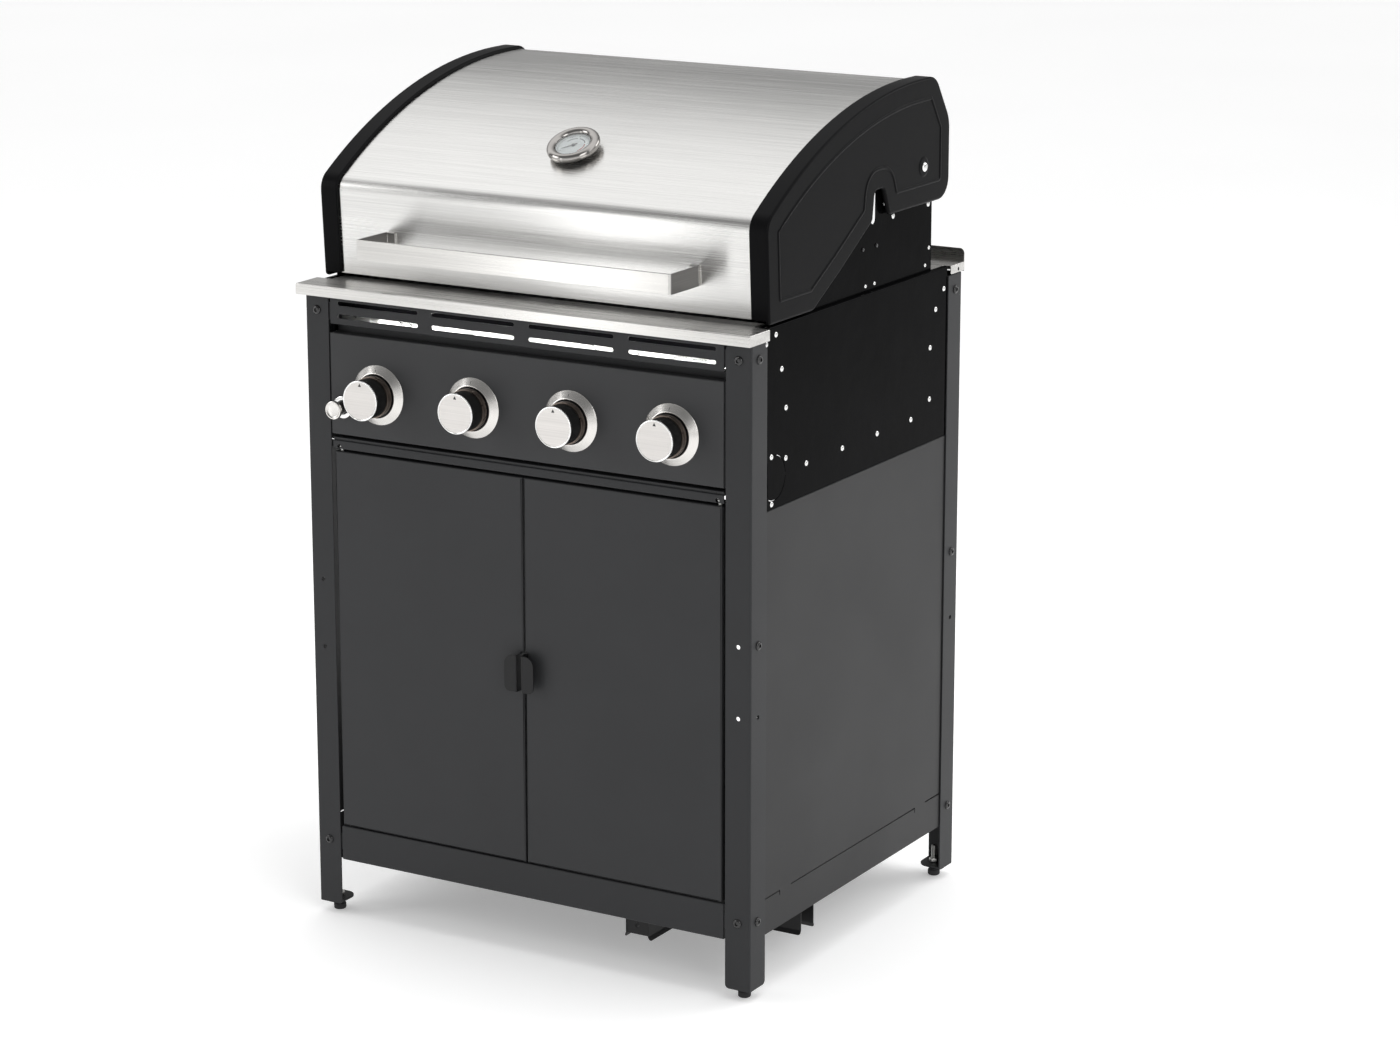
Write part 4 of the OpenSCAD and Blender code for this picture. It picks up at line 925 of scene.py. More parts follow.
shelf = stand_in("rear_shelf", "sheet", "stainless", STEEL_X)
SHELF_X, SHELF_LOW, SHELF_Z, SHELF_REAR = 361.5, 916.3, 928.8, 308.7
fold = Fold([(SHELF_X, SHELF_LOW), (SHELF_X, SHELF_Z), (-SHELF_X, SHELF_Z), (-SHELF_X, SHELF_LOW)], 1.8)
k0, k1 = fold.s(1, 11.7), fold.s(1, 711.3)
outline = rounded([(k0, 267, 0.5), (k0, 229, 0.5), (k1, 229, 0.5), (k1, 267, 0.5), (fold.length, 267, 3),
                   (fold.length, SHELF_REAR, 1), (0, SHELF_REAR, 1), (0, 267, 3)])
holes = [disc(fold.s(segment, distance), 291, 2.6) for segment, distance in ((0, 4.5), (2, 8))]
shelf.put(*fold.sheet(outline, holes, STEEL_T), fold_back)
upstand = rounded([(-SHELF_X, 914.8, 1), (SHELF_X, 914.8, 1), (SHELF_X, 947.8, 7), (-SHELF_X, 947.8, 7)])
shelf.put(*plate(upstand, [], STEEL_T, 0.35), facing_front(SHELF_REAR + 0.1))
shelf.done()

floor_sheet = stand_in("bottom_shelf", "sheet", "frame_coat", FRAME_COAT)
fold = Fold([(-356.0, 100.1), (-356.0, 86.1), (356.0, 86.1), (356.0, 100.1)], 2.0)
k0, k1 = fold.s(1, 2.2), fold.s(1, 709.8)
front = [(0, -255, 4), (k0, -255, 0), (k0, -302.6, 1), (k1, -302.6, 1), (k1, -255, 0), (fold.length, -255, 4)]
back = [(fold.length, 255, 4), (k1, 255, 0), (k1, 301.2, 1), (k0, 301.2, 1), (k0, 255, 0), (0, 255, 4)]
floor_sheet.put(*fold.sheet(rounded(front + back), [], SHEET), fold_back)
floor_sheet.done()

# The rails take the darker coat as painted shade under the cabinet floor.
rails = stand_in("bottle_rails", "sheet", "frame_coat", RAIL_SHADE_COAT)
fold = Fold([(21.5, 50), (18.5, 56.5), (18.5, 86), (-18.5, 86), (-18.5, 56.5), (-21.5, 50)], [3, 1.8, 1.8, 3])
CROSS_Y, SHORT_X = -137, 168                    # the rail across the cabinet and the short one in front of it
rails.put(*fold.sheet(rect(0, -356.2, fold.length, 356.2, 4), [], SHEET), lambda a, b, v: (v, CROSS_Y + a, b))
outline = rounded([(0, -284, 5), (0, -159, 2), (fold.length, -159, 2), (fold.length, -284, 5)])
rails.put(*fold.sheet(outline, [], SHEET), lambda a, b, v: (SHORT_X + a, v, b))
rails.put(*plate(rect(151, 56.5, 185, 84.3, 1.5), [disc(SHORT_X, 70, 3.2)], SHEET), facing_front(-283.5))
rails.done()


# ------------------------------------------------------------------ doors and pulls

PULL_Z, PULL_H = 416.5, 53.0
DOOR_LOW, DOOR_HIGH = 138, 692
BUSH = [(3.06, 0), (5.6, 0), (5.8, 0.2), (5.8, 1.1), (5.6, 1.3), (3.06, 1.3)]
PIN = [(0, 0), (2.4, 0), (2.9, 0.4), (3, 0.9), (3, 11.1), (5.2, 11.1), (5.5, 11.5), (5.5, 13.4), (5.1, 13.9),
       (0, 14.05)]

for side_name, side in SIDES:
    body = f"door_{side_name}"
    door = stand_in(body, "pan", "panel_coat", PANEL_COAT, body=body)
    z0, z1 = PULL_Z - PULL_H / 2, PULL_Z + PULL_H / 2
    outline = rounded([(1.5, DOOR_LOW, 0.8), (315, DOOR_LOW, 0.8), (315, DOOR_HIGH, 0.8), (1.5, DOOR_HIGH, 0.8),
                       (1.5, z1 + 0.5, 0.6), (5.5, z1 + 0.5, 0.9), (5.5, z0 - 0.5, 0.9), (1.5, z0 - 0.5, 0.6)], 3)
    door.put(*pan(outline, 14, 1.2, 1.8), facing_front(-LEG_Y, side))
    for z, way in ((DOOR_LOW + 1.3, 1), (DOOR_HIGH - 1.3, -1)):
        door.put(*tube_wall(BUSH, 28), axis_up(side * PIN_X, PIN_Y, z, way))
    door.done()

    pull = stand_in(f"door_pull_{side_name}", "sheet", "pull_coat", PULL_COAT, BOLT_BLACK, body=body)
    back = -302.2
    fold = Fold([(20, back), (3.5, back), (3.5, -320.5), (24, -320.5)], 2.3)
    outline = rounded([(0, z0, 3), (fold.length, z0, 8), (fold.length, z1, 14), (0, z1, 3)])
    screws = (PULL_Z - 16, PULL_Z + 16)
    holes = [disc(fold.s(0, 8), z, 1.6) for z in screws]
    pull.put(*fold.sheet(outline, holes, SHEET, 0.4), quarter(side, 1))
    for z in screws:
        add_rivet(pull, facing_front(back, side, 12, z), 3.2, 1.4, 1)
    pull.done()

pins = stand_in("door_hinge_pins", "turned", "chrome", ZINC)
for side in (-1, 1):
    for z, way in ((686, 1), (144, -1)):
        pins.put(*lathe(PIN, 28), axis_up(side * PIN_X, PIN_Y, z, way))
pins.done(40)


# ------------------------------------------------------------------ knobs, bezels and igniter

bezels = stand_in("knob_bezels", "spun", "stainless", STEEL_CONE, INK)
CONE_R, CONE_W = (42.1, 33.0), (1.15, 7.55)     # where the bezel's slope starts and ends
SLOPE = (CONE_W[1] - CONE_W[0]) / (CONE_R[0] - CONE_R[1])
cone = [(40.6, 0.1), (41.9, 0), (42.4, 0.25), (42.5, 0.7), (CONE_R[0], CONE_W[0]), (CONE_R[1], CONE_W[1]), (32.3, 7.95),
        (31.5, 8), (31.0, 7.6), (31.0, 5.4), (31.9, 6.3), (40.4, 0.9)]
tick = ((-0.32, 34.2), (-0.32, 38.6), (0.32, 38.6), (0.32, 34.2))
for x in BURNERS:
    place = axis_front(x, PANEL_Y, KNOB_Z)
    bezels.put(*tube_wall(cone, 96), place)
    rings = [[(u, r, CONE_W[0] + (CONE_R[0] - r) * SLOPE + lift) for u, r in tick] for lift in (-0.3, 0.1)]
    bezels.put(*loft(rings), place, 1)
bezels.done(50)

KNOB_FACE = [(0, 44.12), (14, 44.12), (26.2, 44.12), (26.5, 44.16), (26.6, 41.9), (0, 41.9)]
KNOB_RIM = [(26.4, 44.1), (26.9, 44.35), (27.5, 44.5), (28.05, 44.4), (28.4, 44.05), (28.5, 43.6), (28.5, 42.3),
            (28.3, 41.9), (27.9, 41.75), (26.4, 41.75)]
GRIP_TOP = [(24.5, 41.7), (26.3, 41.7), (26.9, 41.4), (27.0, 40.9)]
GRIP_SIDE = [(27.55, 40.4 - 20.9 * k / 22) for k in range(23)]
GRIP_INSIDE = [(27.0, 19.0), (26.9, 18.7), (25, 18.6), (25, 32.5), (9, 32.5), (9, 5.7), (8.6, 5.4), (4.08, 5.4),
               (4.08, 30), (3, 41.7)]
KNOB_RING = [(27.0, 18.6), (28.9, 18.6), (29.35, 18.35), (29.5, 17.9), (29.5, 16.4), (29.3, 16.1), (28.5, 15.95),
             (28.5, 15.3), (29.3, 15.15), (29.5, 14.85), (29.5, 10.1), (29.3, 9.7), (28.9, 9.5), (25.2, 9.5),
             (25.2, 18.6)]
STEM_LINE = [(0, 0), (3.6, 0), (4, 0.5), (4, 24), (4, 24.1), (4, 67.6), (3.6, 68), (0, 68)]


def knurl(r, g, k):
    """Crossed ridges on the grip's side, between its first and last ring."""
    row = k - len(GRIP_TOP)
    if not 0 < row < len(GRIP_SIDE) - 1:
        return r
    twist = row * math.radians(6) * 15
    return r + 0.42 * max(abs(math.sin(30 * g + twist)), abs(math.sin(30 * g - twist))) - 0.22


def stem_flat(r, g, k):
    """The flat on the stem's rear end, 2.6 mm from the axis."""
    return min(r, 2.6 / math.sin(g)) if 1 <= k <= 3 and math.sin(g) > 0.3 else r


def make_knob(i, x):
    place = axis_front(x, PANEL_Y, KNOB_Z)
    body = f"knob_{i}"
    face = stand_in(body, "face", "knob", STEEL_FACE, CHROME, INK, body=body)
    face.put(*lathe(KNOB_FACE, 96), place)
    face.put(*tube_wall(KNOB_RIM, 96), place, 1)
    pointer = rounded([(-2.7, 20.1, 0.3), (2.7, 20.1, 0.3), (0, 25.0, 0.3)])
    face.put(*plate(pointer, [], 0.14, 0.03), axis_front(x, PANEL_Y - 44.06, KNOB_Z), 2)
    face.done(40)

    grip = Shape(f"knob_{i}_grip", body, "knob", GRIP)
    grip.put(*tube_wall(GRIP_TOP + GRIP_SIDE + GRIP_INSIDE, 180, knurl), place)
    grip.done(60)

    ring = Shape(f"knob_{i}_ring", body, "knob", RING, INK)
    ring.put(*tube_wall(KNOB_RING, 96), place)
    for k, g in enumerate(sweep(-165, 319, 29)):
        c, s = math.cos(g), math.sin(g)
        half, high = (0.28, 14.0) if k % 5 == 0 else (0.18, 12.3)
        mark = ((-half, 10.9), (half, 10.9), (half, high), (-half, high))
        rings = [[(c * r - s * a, s * r + c * a, w) for a, w in mark] for r in (29.3, 29.56)]
        ring.put(*loft(rings), place, 1)
    ring.done(40)


for i, x in enumerate(BURNERS, 1):
    make_knob(i, x)
    stem = stand_in(f"valve_stem_{i}", "turned", "brass", STEM, body=f"stem_{i}")
    stem.put(*lathe(STEM_LINE, 48, stem_flat), facing_front(-338, 1, x, KNOB_Z))
    stem.done(30)

place = axis_front(IGNITER[0], PANEL_Y, IGNITER[1])
collar = stand_in("igniter_collar", "turned", "stainless", CHROME, GRIP)
dome = [(9.5, 0), (15.6, 0), (16, 0.3), (16, 1.1), (15.6, 1.7), (14.6, 2.15), (10.6, 2.2), (9.9, 1.9), (9.5, 1.4)]
collar.put(*tube_wall(dome, 64), place)
sleeve = [(9.5, -0.2), (9.5, -32), (0.5, -32), (0.5, -34), (9.7, -34), (10.1, -33.6), (10.1, -0.2)]
collar.put(*tube_wall(sleeve, 40), place, 1)
collar.done(40)

button = stand_in("igniter_button", "turned", "stainless", STEEL_CONE, GRIP, body="igniter")
head = [(0, 22.6), (6, 22.7), (9.2, 23.0), (10.4, 23.5), (11.0, 24.2), (11.5, 24.5), (12.2, 24.4), (12.8, 24.0),
        (13.0, 23.3), (13.0, 20.0), (12.7, 19.3), (11.6, 18.4), (10.0, 18.0), (0, 18.0)]
button.put(*lathe(head, 64), place)
plunger = [(0, 18.3), (8.9, 18.3), (9.2, 18.0), (9.2, 15.5), (9.45, 15), (9.45, -23.6), (9.1, -24), (0, -24)]
button.put(*lathe(plunger, 48), place, 1)
button.done(40)


# ------------------------------------------------------------------ lid outline

LID_LOW, SKIN_INSET = 932.0, 5.0


def arc_points(a, b, rise, count):
    """Points strictly between a and b on the arc with the given rise over their chord."""
    chord = math.dist(a, b)
    r = (chord ** 2 / 4 + rise ** 2) / (2 * rise)
    u = unit2(b[0] - a[0], b[1] - a[1])
    up = (-u[1], u[0])
    cx, cy = ((a[k] + b[k]) / 2 + (rise - r) * up[k] for k in (0, 1))
    span = 2 * math.asin(chord / 2 / r)
    out = []
    for i in range(1, count):
        s, c = math.sin(span * (i / count - 0.5)), math.cos(span * (i / count - 0.5))
        out.append((cx + r * (s * u[0] + c * up[0]), cy + r * (s * u[1] + c * up[1]), 0))
    return out


CROWN = ((-250, LID_LOW + 148), (189, LID_LOW + 276))
ARCH = ([(-258, LID_LOW, 5), (-266, LID_LOW + 138, 28), (*CROWN[0], 0)] + arc_points(*CROWN, 34, 24)
        + [(*CROWN[1], 0), (216.6, LID_LOW + 276, 30), (260, LID_LOW + 211, 45)])
CAP = ARCH + [(260, LID_LOW + 98, 30), (78, LID_LOW + 98, 10), (62, LID_LOW + 138, 9), (36, LID_LOW + 138, 9),
              (30, LID_LOW + 97, 8), (-62, LID_LOW + 42, 40), (-138, LID_LOW, 14)]
SHELL = ARCH + [(260, LID_LOW, 0)]


def inset(corners, d, radius=None):
    """Moves each corner (y, z, radius) of a clockwise outline inwards by d. radius(corner) can give its new radius."""
    out, n = [], len(corners)
    for i in range(n):
        a, b, c = corners[i - 1], corners[i], corners[(i + 1) % n]
        u, w = unit2(b[0] - a[0], b[1] - a[1]), unit2(c[0] - b[0], c[1] - b[1])
        n1, n2 = (u[1], -u[0]), (w[1], -w[0])
        k = 1 + n1[0] * n2[0] + n1[1] * n2[1]
        bend = -d if u[0] * w[1] - u[1] * w[0] < 0 else d
        r = 0 if b[2] == 0 else (radius(b) if radius else max(0.5, b[2] + bend))
        out.append((b[0] + d * (n1[0] + n2[0]) / k, b[1] + d * (n1[1] + n2[1]) / k, r))
    return out


def skin_path(d, low_back, hem_back):
    """The lid's outer line at inset d, from the hem behind the front's lower edge over the crown to low_back."""
    loop = rounded(inset(SHELL, d), 8)
    front = [i for i, p in enumerate(loop) if p[0] < 0]
    start = min(front, key=lambda i: (round(loop[i][1], 3), abs(loop[i][0] - hem_back)))
    path = loop[start:] + loop[:start]
    bottom = path[0][1]
    out = [(hem_back, bottom)]
    for p in path:
        if p[0] > 0 and p[1] < low_back:
            break
        out.append(p)
    return out + [(out[-1][0], low_back)]


def thick_line(path, t):
    """A closed outline for a sheet of thickness t inside an open line that runs clockwise round its section."""
    n, inner = len(path), []
    for i, p in enumerate(path):
        a, c = path[max(i - 1, 0)], path[min(i + 1, n - 1)]
        u, w = unit2(p[0] - a[0], p[1] - a[1]), unit2(c[0] - p[0], c[1] - p[1])
        u = w if i == 0 else u
        w = u if i == n - 1 else w
        n1, n2 = (u[1], -u[0]), (w[1], -w[0])
        k = max(1 + n1[0] * n2[0] + n1[1] * n2[1], 0.3)
        inner.append((p[0] + t * (n1[0] + n2[0]) / k, p[1] + t * (n1[1] + n2[1]) / k))
    return list(path) + inner[::-1]


def dedupe(loop, eps=0.02):
    out = []
    for p in loop:
        if not out or math.dist(p, out[-1]) > eps:
            out.append(p)
    if math.dist(out[0], out[-1]) <= eps:
        out.pop()
    return out


skin = stand_in("lid_skin", "sheet", "stainless", STEEL_LID, body="lid")
outline = dedupe(thick_line(dedupe(skin_path(SKIN_INSET, LID_LOW + 129, -246)), 1.2))
SKIN_X = 334                                    # the curved sheet's ends
skin.put(*plate(outline, [], 2 * SKIN_X, 0.2), drawn_across(-SKIN_X))
skin.done(40)


# ------------------------------------------------------------------ end caps

def cap_shell(loop, deep):
    """The pressed end cap: a side plate with a rim all round, wider where deep(y, z) says so. w = 0 is the outside."""
    loop = ccw(loop)
    outer, inner = rolled_edge(3.6, 2.0, 1.5, 4)
    wide = [(0, 26.6), (0.25, 27.4), (1.0, 28), (4.6, 28), (5, 27.6), (5, 26.9), (4.6, 26.5), (2, 26.5), (2, 25)]
    slim = [(0, 5.1), (0.12, 5.35), (0.4, 5.5), (1.6, 5.5), (1.85, 5.4), (1.95, 5.3), (2, 5.2), (2, 5.0), (2, 4.8)]
    moved = {d: offset(loop, d) if d else loop for d, _ in outer + wide + slim + inner}
    rings = []
    for rows in zip(outer + slim + inner, outer + wide + inner):
        picked = [rows[deep(*p)] for p in loop]
        rings.append([(*moved[d][i], w) for i, (d, w) in enumerate(picked)])
    return filled(rings)


def split_at(loop, axis, value, keep):
    """Adds two close points where the outline crosses value, so that a step there comes out square."""
    out, n = [], len(loop)
    for i in range(n):
        a, b = loop[i], loop[(i + 1) % n]
        out.append(a)
        if keep(a, b) and (a[axis] - value) * (b[axis] - value) < 0:
            k = (value - a[axis]) / (b[axis] - a[axis])
            for e in (-0.03, 0.03):
                f = k + e / max(math.dist(a, b), 0.1)
                out.append((a[0] + (b[0] - a[0]) * f, a[1] + (b[1] - a[1]) * f))
    return out


REAR_STEP, HEEL, CAP_X = LID_LOW + 218, LID_LOW + 6, 360


def is_deep(y, z):
    """The rim is wide over the crown and down the front, and slim below the rear step and along the notch."""
    return z > REAR_STEP if y > 200 else z > HEEL and (y < -240 or z > LID_LOW + 145)


def bead_radius(c):
    """The bead follows the notch at a distance and turns tight corners elsewhere."""
    return c[2] + 28.5 if 0 < c[0] < 70 and c[1] > LID_LOW + 130 else 3.2


cap_loop = dedupe(rounded(CAP, 7), 0.05)
cap_loop = split_at(cap_loop, 1, REAR_STEP, lambda a, b: a[0] > 230 and b[0] > 230)
cap_loop = split_at(cap_loop, 1, HEEL, lambda a, b: a[0] < -250 and b[0] < -250)
bead_loop = ccw(dedupe(rounded(inset(CAP, 29.5, bead_radius), 9), 0.05))
bead_section = [(-2.9, -0.4), (-2.7, 0.1), (-2.0, 0.6), (-1.1, 0.92), (0, 1.05), (1.1, 0.92), (2.0, 0.6), (2.7, 0.1),
                (2.9, -0.4)]
boss = [(4.05, -0.5), (15.5, -0.5), (15, 0.05), (13.6, 0.35), (12.4, 0.75), (11.6, 0.82), (4.05, 0.82)]

for side_name, side in SIDES:
    cap = stand_in(f"lid_cap_{side_name}", "pressed", "lid_coat", LID_COAT, body="lid")
    cap.put(*cap_shell(cap_loop, is_deep), facing_side(CAP_X, side))
    rings = [[(u, v, w) for u, v in offset(bead_loop, d)] for d, w in bead_section]
    verts, faces = loft(rings + [rings[0]], cap=False)
    n = len(verts) - len(rings[0])
    cap.put(verts[:n], [[i if i < n else i - n for i in f] for f in faces], drawn_across(CAP_X, side))
    cap.put(*tube_wall(boss, 48), axis_side(CAP_X, HINGE_Y, HINGE_Z, side))
    cap.done(35)

hinge = stand_in("lid_hinge_bolts", "turned", "chrome", CHROME, body="lid")
head = [(0, 360.85), (6.6, 360.85), (7, 361.2), (7, 362.0), (6.8, 362.6), (6.0, 363.5), (4.6, 364.3), (2.6, 364.75),
        (0, 364.85)]
shank = [(0, 340.5), (3.6, 340.5), (4, 341), (4, 360.9), (0, 360.9)]
spacer = [(4.02, 350.4), (7.7, 350.4), (8, 350.8), (8, 357), (7.7, 357.4), (4.02, 357.4)]
for side in (-1, 1):
    place = axis_side(0, HINGE_Y, HINGE_Z, side)
    hinge.put(*lathe(head, 40), place)
    hinge.put(*lathe(shank, 32), place)
    hinge.put(*tube_wall(spacer, 40), place)
    add_nut(hinge, axis_side(342.1, HINGE_Y, HINGE_Z, side), 7, 6)
hinge.done(40)


# ------------------------------------------------------------------ handle and thermometer

HANDLE_Z, HANDLE_H = 989.0, 28.0
FOOT_LINE, ARM_X, GRIP_LINE = -257.1, 253, -331
handle = stand_in("lid_handle", "bent", "stainless", STEEL_HANDLE, CHROME, STEEL_ARM_SHADE, body="lid")
fold = Fold([(-237, FOOT_LINE), (-ARM_X, FOOT_LINE), (-ARM_X, GRIP_LINE), (ARM_X, GRIP_LINE), (ARM_X, FOOT_LINE),
             (237, FOOT_LINE)], [3.6, 4.6, 4.6, 3.6])
low, high = HANDLE_Z - HANDLE_H / 2, HANDLE_Z + HANDLE_H / 2
outline = rect(0, low, fold.length, high, 3)


def lean(a, b, v):
    """The feet follow the slope of the lid's front."""
    share = max(0.0, min(1.0, (b + 320) / 60))
    return a, b + (high - v) * 8 / 138 * share, v


# Faces on the arms, between the bar and the feet, take the dark steel as painted shade and painted reflection.
handle.put(*fold.sheet(outline, [], 3.0, 0.7), lean, lambda p: 2 if -329.2 < p.y < -260 else 0)
for x in (-245, 245):
    for z in (HANDLE_Z - 7, HANDLE_Z + 7):
        add_thread(handle, facing_front(-256.4, 1, x, z), 2.9, -2.5, 9, 1.0, 1)
        add_nut(handle, facing_front(-254.6, 1, x, z), 5.4, 3.4, 1)
handle.done(40)

TILT, GAUGE_Y, GAUGE_Z = math.radians(62), -166, 1127


def on_gauge(u, v, w):
    """w runs out of the lid along the gauge's axis, v runs up its slope."""
    c, s = math.cos(TILT), math.sin(TILT)
    return u, GAUGE_Y - c * w + s * v, GAUGE_Z + s * w + c * v


def above_dial(height):
    return lambda u, v, w: on_gauge(u, v, height + w)


gauge = stand_in("thermometer", "bezel", "chrome", GAUGE, CHROME, body="lid")
bezel = [(10, 1.0), (34, 1.05), (36, 1.5), (37.1, 2.6), (37.8, 4.2), (38, 6.0)]
bezel += [(31.6 + 6.4 * math.cos(g), 6.4 + 6.4 * math.sin(g)) for g in sweep(10, 110, 11)]
bezel += [(27.2, 11.3), (26.3, 10.2), (25.6, 9.0), (25.2, 7.4), (25.1, 5.0), (25.0, 2.2), (24.6, 1.8), (10, 1.8)]
gauge.put(*tube_wall(bezel, 120), on_gauge)
gauge.put(*lathe([(0, 1.0), (10.5, 1.0), (10.5, 2.0), (0, 2.0)], 48), on_gauge)
gauge.put(*lathe([(0, -70), (2.6, -69.6), (3.3, -68.6), (3.5, -67), (3.5, 1.2), (0, 1.2)], 32), on_gauge, 1)
gauge.done(40)

face = Shape("thermometer_dial", "lid", "chrome", DIAL, INK_GREY, INK_RED)
face.put(*lathe([(0, 4.9), (24.6, 4.9), (25.0, 4.8), (25.0, 3.7), (0, 3.7)], 96), on_gauge)


def dial_arc(r0, r1, g0, g1, mat):
    """An arc of print between two radii and two angles in degrees from the top."""
    angles = sweep(g0, g1 - g0, max(3, int(abs(g1 - g0) / 4)))
    outer, inner = ([(r * math.sin(a), r * math.cos(a)) for a in angles] for r in (r1, r0))
    face.put(*plate(outer + inner[::-1], [], 0.12, 0.02), above_dial(4.85), mat)


for k in range(41):
    g = -135 + 270 * k / 40
    half, start = (0.9, 18.8) if k % 5 == 0 else (0.45, 20.6)
    dial_arc(start, 22.2, g - half, g + half, 1)
dial_arc(22.4, 22.9, -135, 135, 1)
for g0, g1, mat in ((-62, -5, 1), (5, 60, 1), (70, 132, 2)):
    dial_arc(15.2, 16.8, g0, g1, mat)
needle = [(-0.9, -6), (0.9, -6), (1.2, 0), (0.5, 13), (0, 17.5), (-0.5, 13), (-1.2, 0)]
c, s = math.cos(math.radians(128)), math.sin(math.radians(128))
face.put(*plate([(u * c - v * s, u * s + v * c) for u, v in needle], [], 0.5, 0.1), above_dial(6.0), 1)
face.put(*lathe([(0, 7.0), (2.0, 6.9), (2.4, 6.5), (2.4, 4.8), (0, 4.8)], 32), on_gauge, 1)
face.done(40)

glass = Shape("thermometer_glass", "lid", "chrome", GLASS)
lens = [(0, 9.9), (10, 9.75), (18, 9.4), (24.9, 8.8), (25.2, 8.5), (25.2, 7.9), (24.9, 7.7), (18, 8.2), (10, 8.6),
        (0, 8.75)]
glass.put(*lathe(lens, 96), on_gauge)
glass.done(40)


# ------------------------------------------------------------------ cooking surface

LEDGE, GRATE_TOP = 906.0, 920.0
GRATE_X, GRATE_Y = (1.5, 344.5), (-233.0, 219.0)


def make_grate(side_name, side):
    grate = stand_in(f"cooking_grate_{side_name}", "cast", "cast_iron", IRON)
    (x0, x1), (y0, y1) = GRATE_X, GRATE_Y
    hole_loop = rect(x0 + 9, y0 + 9, x1 - 9, y1 - 9, 3)
    grate.put(*plate(rect(x0, y0, x1, y1, 6), [hole_loop], 11.9, 1.5), lying(LEDGE + 0.1, side))
    bars = math.floor((x1 - x0 - 9) / 20) - 1
    step = (x1 - x0 - 9) / (bars + 1)
    low, shoulder = LEDGE + 1.1, 916.6
    section = rounded([(-3.5, low, 1), (3.5, low, 1), (3.5, shoulder, 1.2), (1.6, GRATE_TOP, 1.2),
                       (-1.6, GRATE_TOP, 1.2), (-3.5, shoulder, 1.2)], 3)
    for i in range(1, bars + 1):
        grate.put(*plate(section, [], y1 - y0 - 8, 0.5), facing_front(y0 + 4, side, x0 + 4.5 + i * step))
    for y in (-80, 60):
        cross = rect(y - 3, LEDGE + 0.6, y + 3, 914.6, 1)
        grate.put(*plate(cross, [], x1 - x0 - 4, 0.5), drawn_across(x0 + 2, side))
    grate.done(45)


for side_name, side in SIDES:
    make_grate(side_name, side)

rack = stand_in("warming_rack", "wires", "chrome", CHROME, BOLT_BLACK)


def add_wire(r, half, y):
    """A wire of the warming rack along X, with rounded ends."""
    rings = [(0, -half), (r * 0.7, -half), (r, 0.6 - half), (r, half - 0.6), (r * 0.7, half), (0, half)]
    rack.put(*lathe(rings, 20), lambda u, v, w: (w, y + u, RACK_Z + v))


for y in RACK_Y:
    add_wire(3, 349, y)
    for side in (-1, 1):
        knob = [(0, 0), (2.9, 0), (2.9, 2.6), (2.2, 3.3), (0, 3.5)]
        rack.put(*lathe(knob, 20), axis_side(348.5, y, RACK_Z, side), 1)
for y in (38.5, 79, 100, 121, 142):
    add_wire(2, 342, y)
for x in (-336, -120, 120, 336):
    rack.put(*plate(rect(11.6, 984, 148, 989, 1.5), [], 4, 0.6), drawn_across(x - 2))
rack.done(45)

tamers = stand_in("flame_tamers", "bent", "firebox_steel", BURNER_STEEL)
EAVE, TAMER_START, TAMER_END = KNOB_Z + 36, -221, 207
fold = Fold([(42, EAVE - 6), (42, EAVE), (0, EAVE + 30), (-42, EAVE), (-42, EAVE - 6)], [1.8, 2.2, 1.8])
vents = [[(p, q) for q, p in slot(TAMER_START + 34 + k * 60, fold.s(segment, 26), 30, 6)]
         for segment in (1, 2) for k in range(7)]
roof = fold.sheet(rect(0, TAMER_START, fold.length, TAMER_END, 2), vents, 1.2)
for x in BURNERS:
    tamers.put(*roof, lambda a, b, v: (x + a, v, b))
    for y in (-234.6, TAMER_END):
        tamers.put(*plate(rect(-30, y, 30, y + 13.8, 3), [], 1.5), axis_up(x, 0, EAVE + 4))
tamers.done(40)

tubes = stand_in("burners", "drilled", "firebox_steel", BURNER_STEEL)
MOUTH, CLOSED = -259, 201
tube_line = [(0, CLOSED), (11.5, CLOSED), (12.6, CLOSED - 0.5), (13, CLOSED - 1.6), (13, -229), (13.2, -228.6),
             (15.8, -228.7), (16, -229.2), (16, -232.7), (15.7, -233), (13, -233), (13, MOUTH + 0.4), (12.7, MOUTH),
             (12.0, MOUTH), (11.8, MOUTH + 0.4), (11.8, CLOSED - 2), (0, CLOSED - 2)]
port = [(1.5, 12.6), (1.5, 13.12), (2.3, 13.1), (2.3, 12.6)]


def on_tube(x, y, degrees):
    """w runs out of the burner tube's side at that angle."""
    c, s = math.cos(math.radians(degrees)), math.sin(math.radians(degrees))
    return lambda u, v, w: (x - s * u + c * w, y + v, KNOB_Z + c * u + s * w)


for x in BURNERS:
    tubes.put(*lathe(tube_line, 48), facing_front(0, 1, x, KNOB_Z))
    for k in range(14):
        for degrees in (50, 130):
            tubes.put(*tube_wall(port, 14), on_tube(x, -195 + 28 * k, degrees))
tubes.done(40)


# ------------------------------------------------------------------ firebox front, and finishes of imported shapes

front_wall = stand_in("firebox_front", "sheet", "firebox_steel", BOX_STEEL, GLOSS)
WALL_FRONT, WALL_HALF, WALL_TOP = -236.5, 348.2, 928.8
SHADE_PAINT_LOW = 879.5                               # gloss black above this height: painted shade for the dark seen through the upper vent slots
ports = [disc(x, KNOB_Z, 14, 40) for x in BURNERS]
bare, painted_shade = (rect(-WALL_HALF, z0, WALL_HALF, z1, 1) for z0, z1 in ((752, SHADE_PAINT_LOW), (SHADE_PAINT_LOW, WALL_TOP)))
# The upper sheet and the ledge are gloss black as painted shade: the shade under the countertop, seen through the upper
# vent slots.
front_wall.put(*plate(bare, ports, SHEET), facing_front(WALL_FRONT))
front_wall.put(*plate(painted_shade, [], SHEET), facing_front(WALL_FRONT), 1)
front_wall.put(*plate(rect(-WALL_HALF, -235.1, WALL_HALF, -226, 1), [], SHEET), lying(LEDGE - 1.5), 1)
front_wall.done()

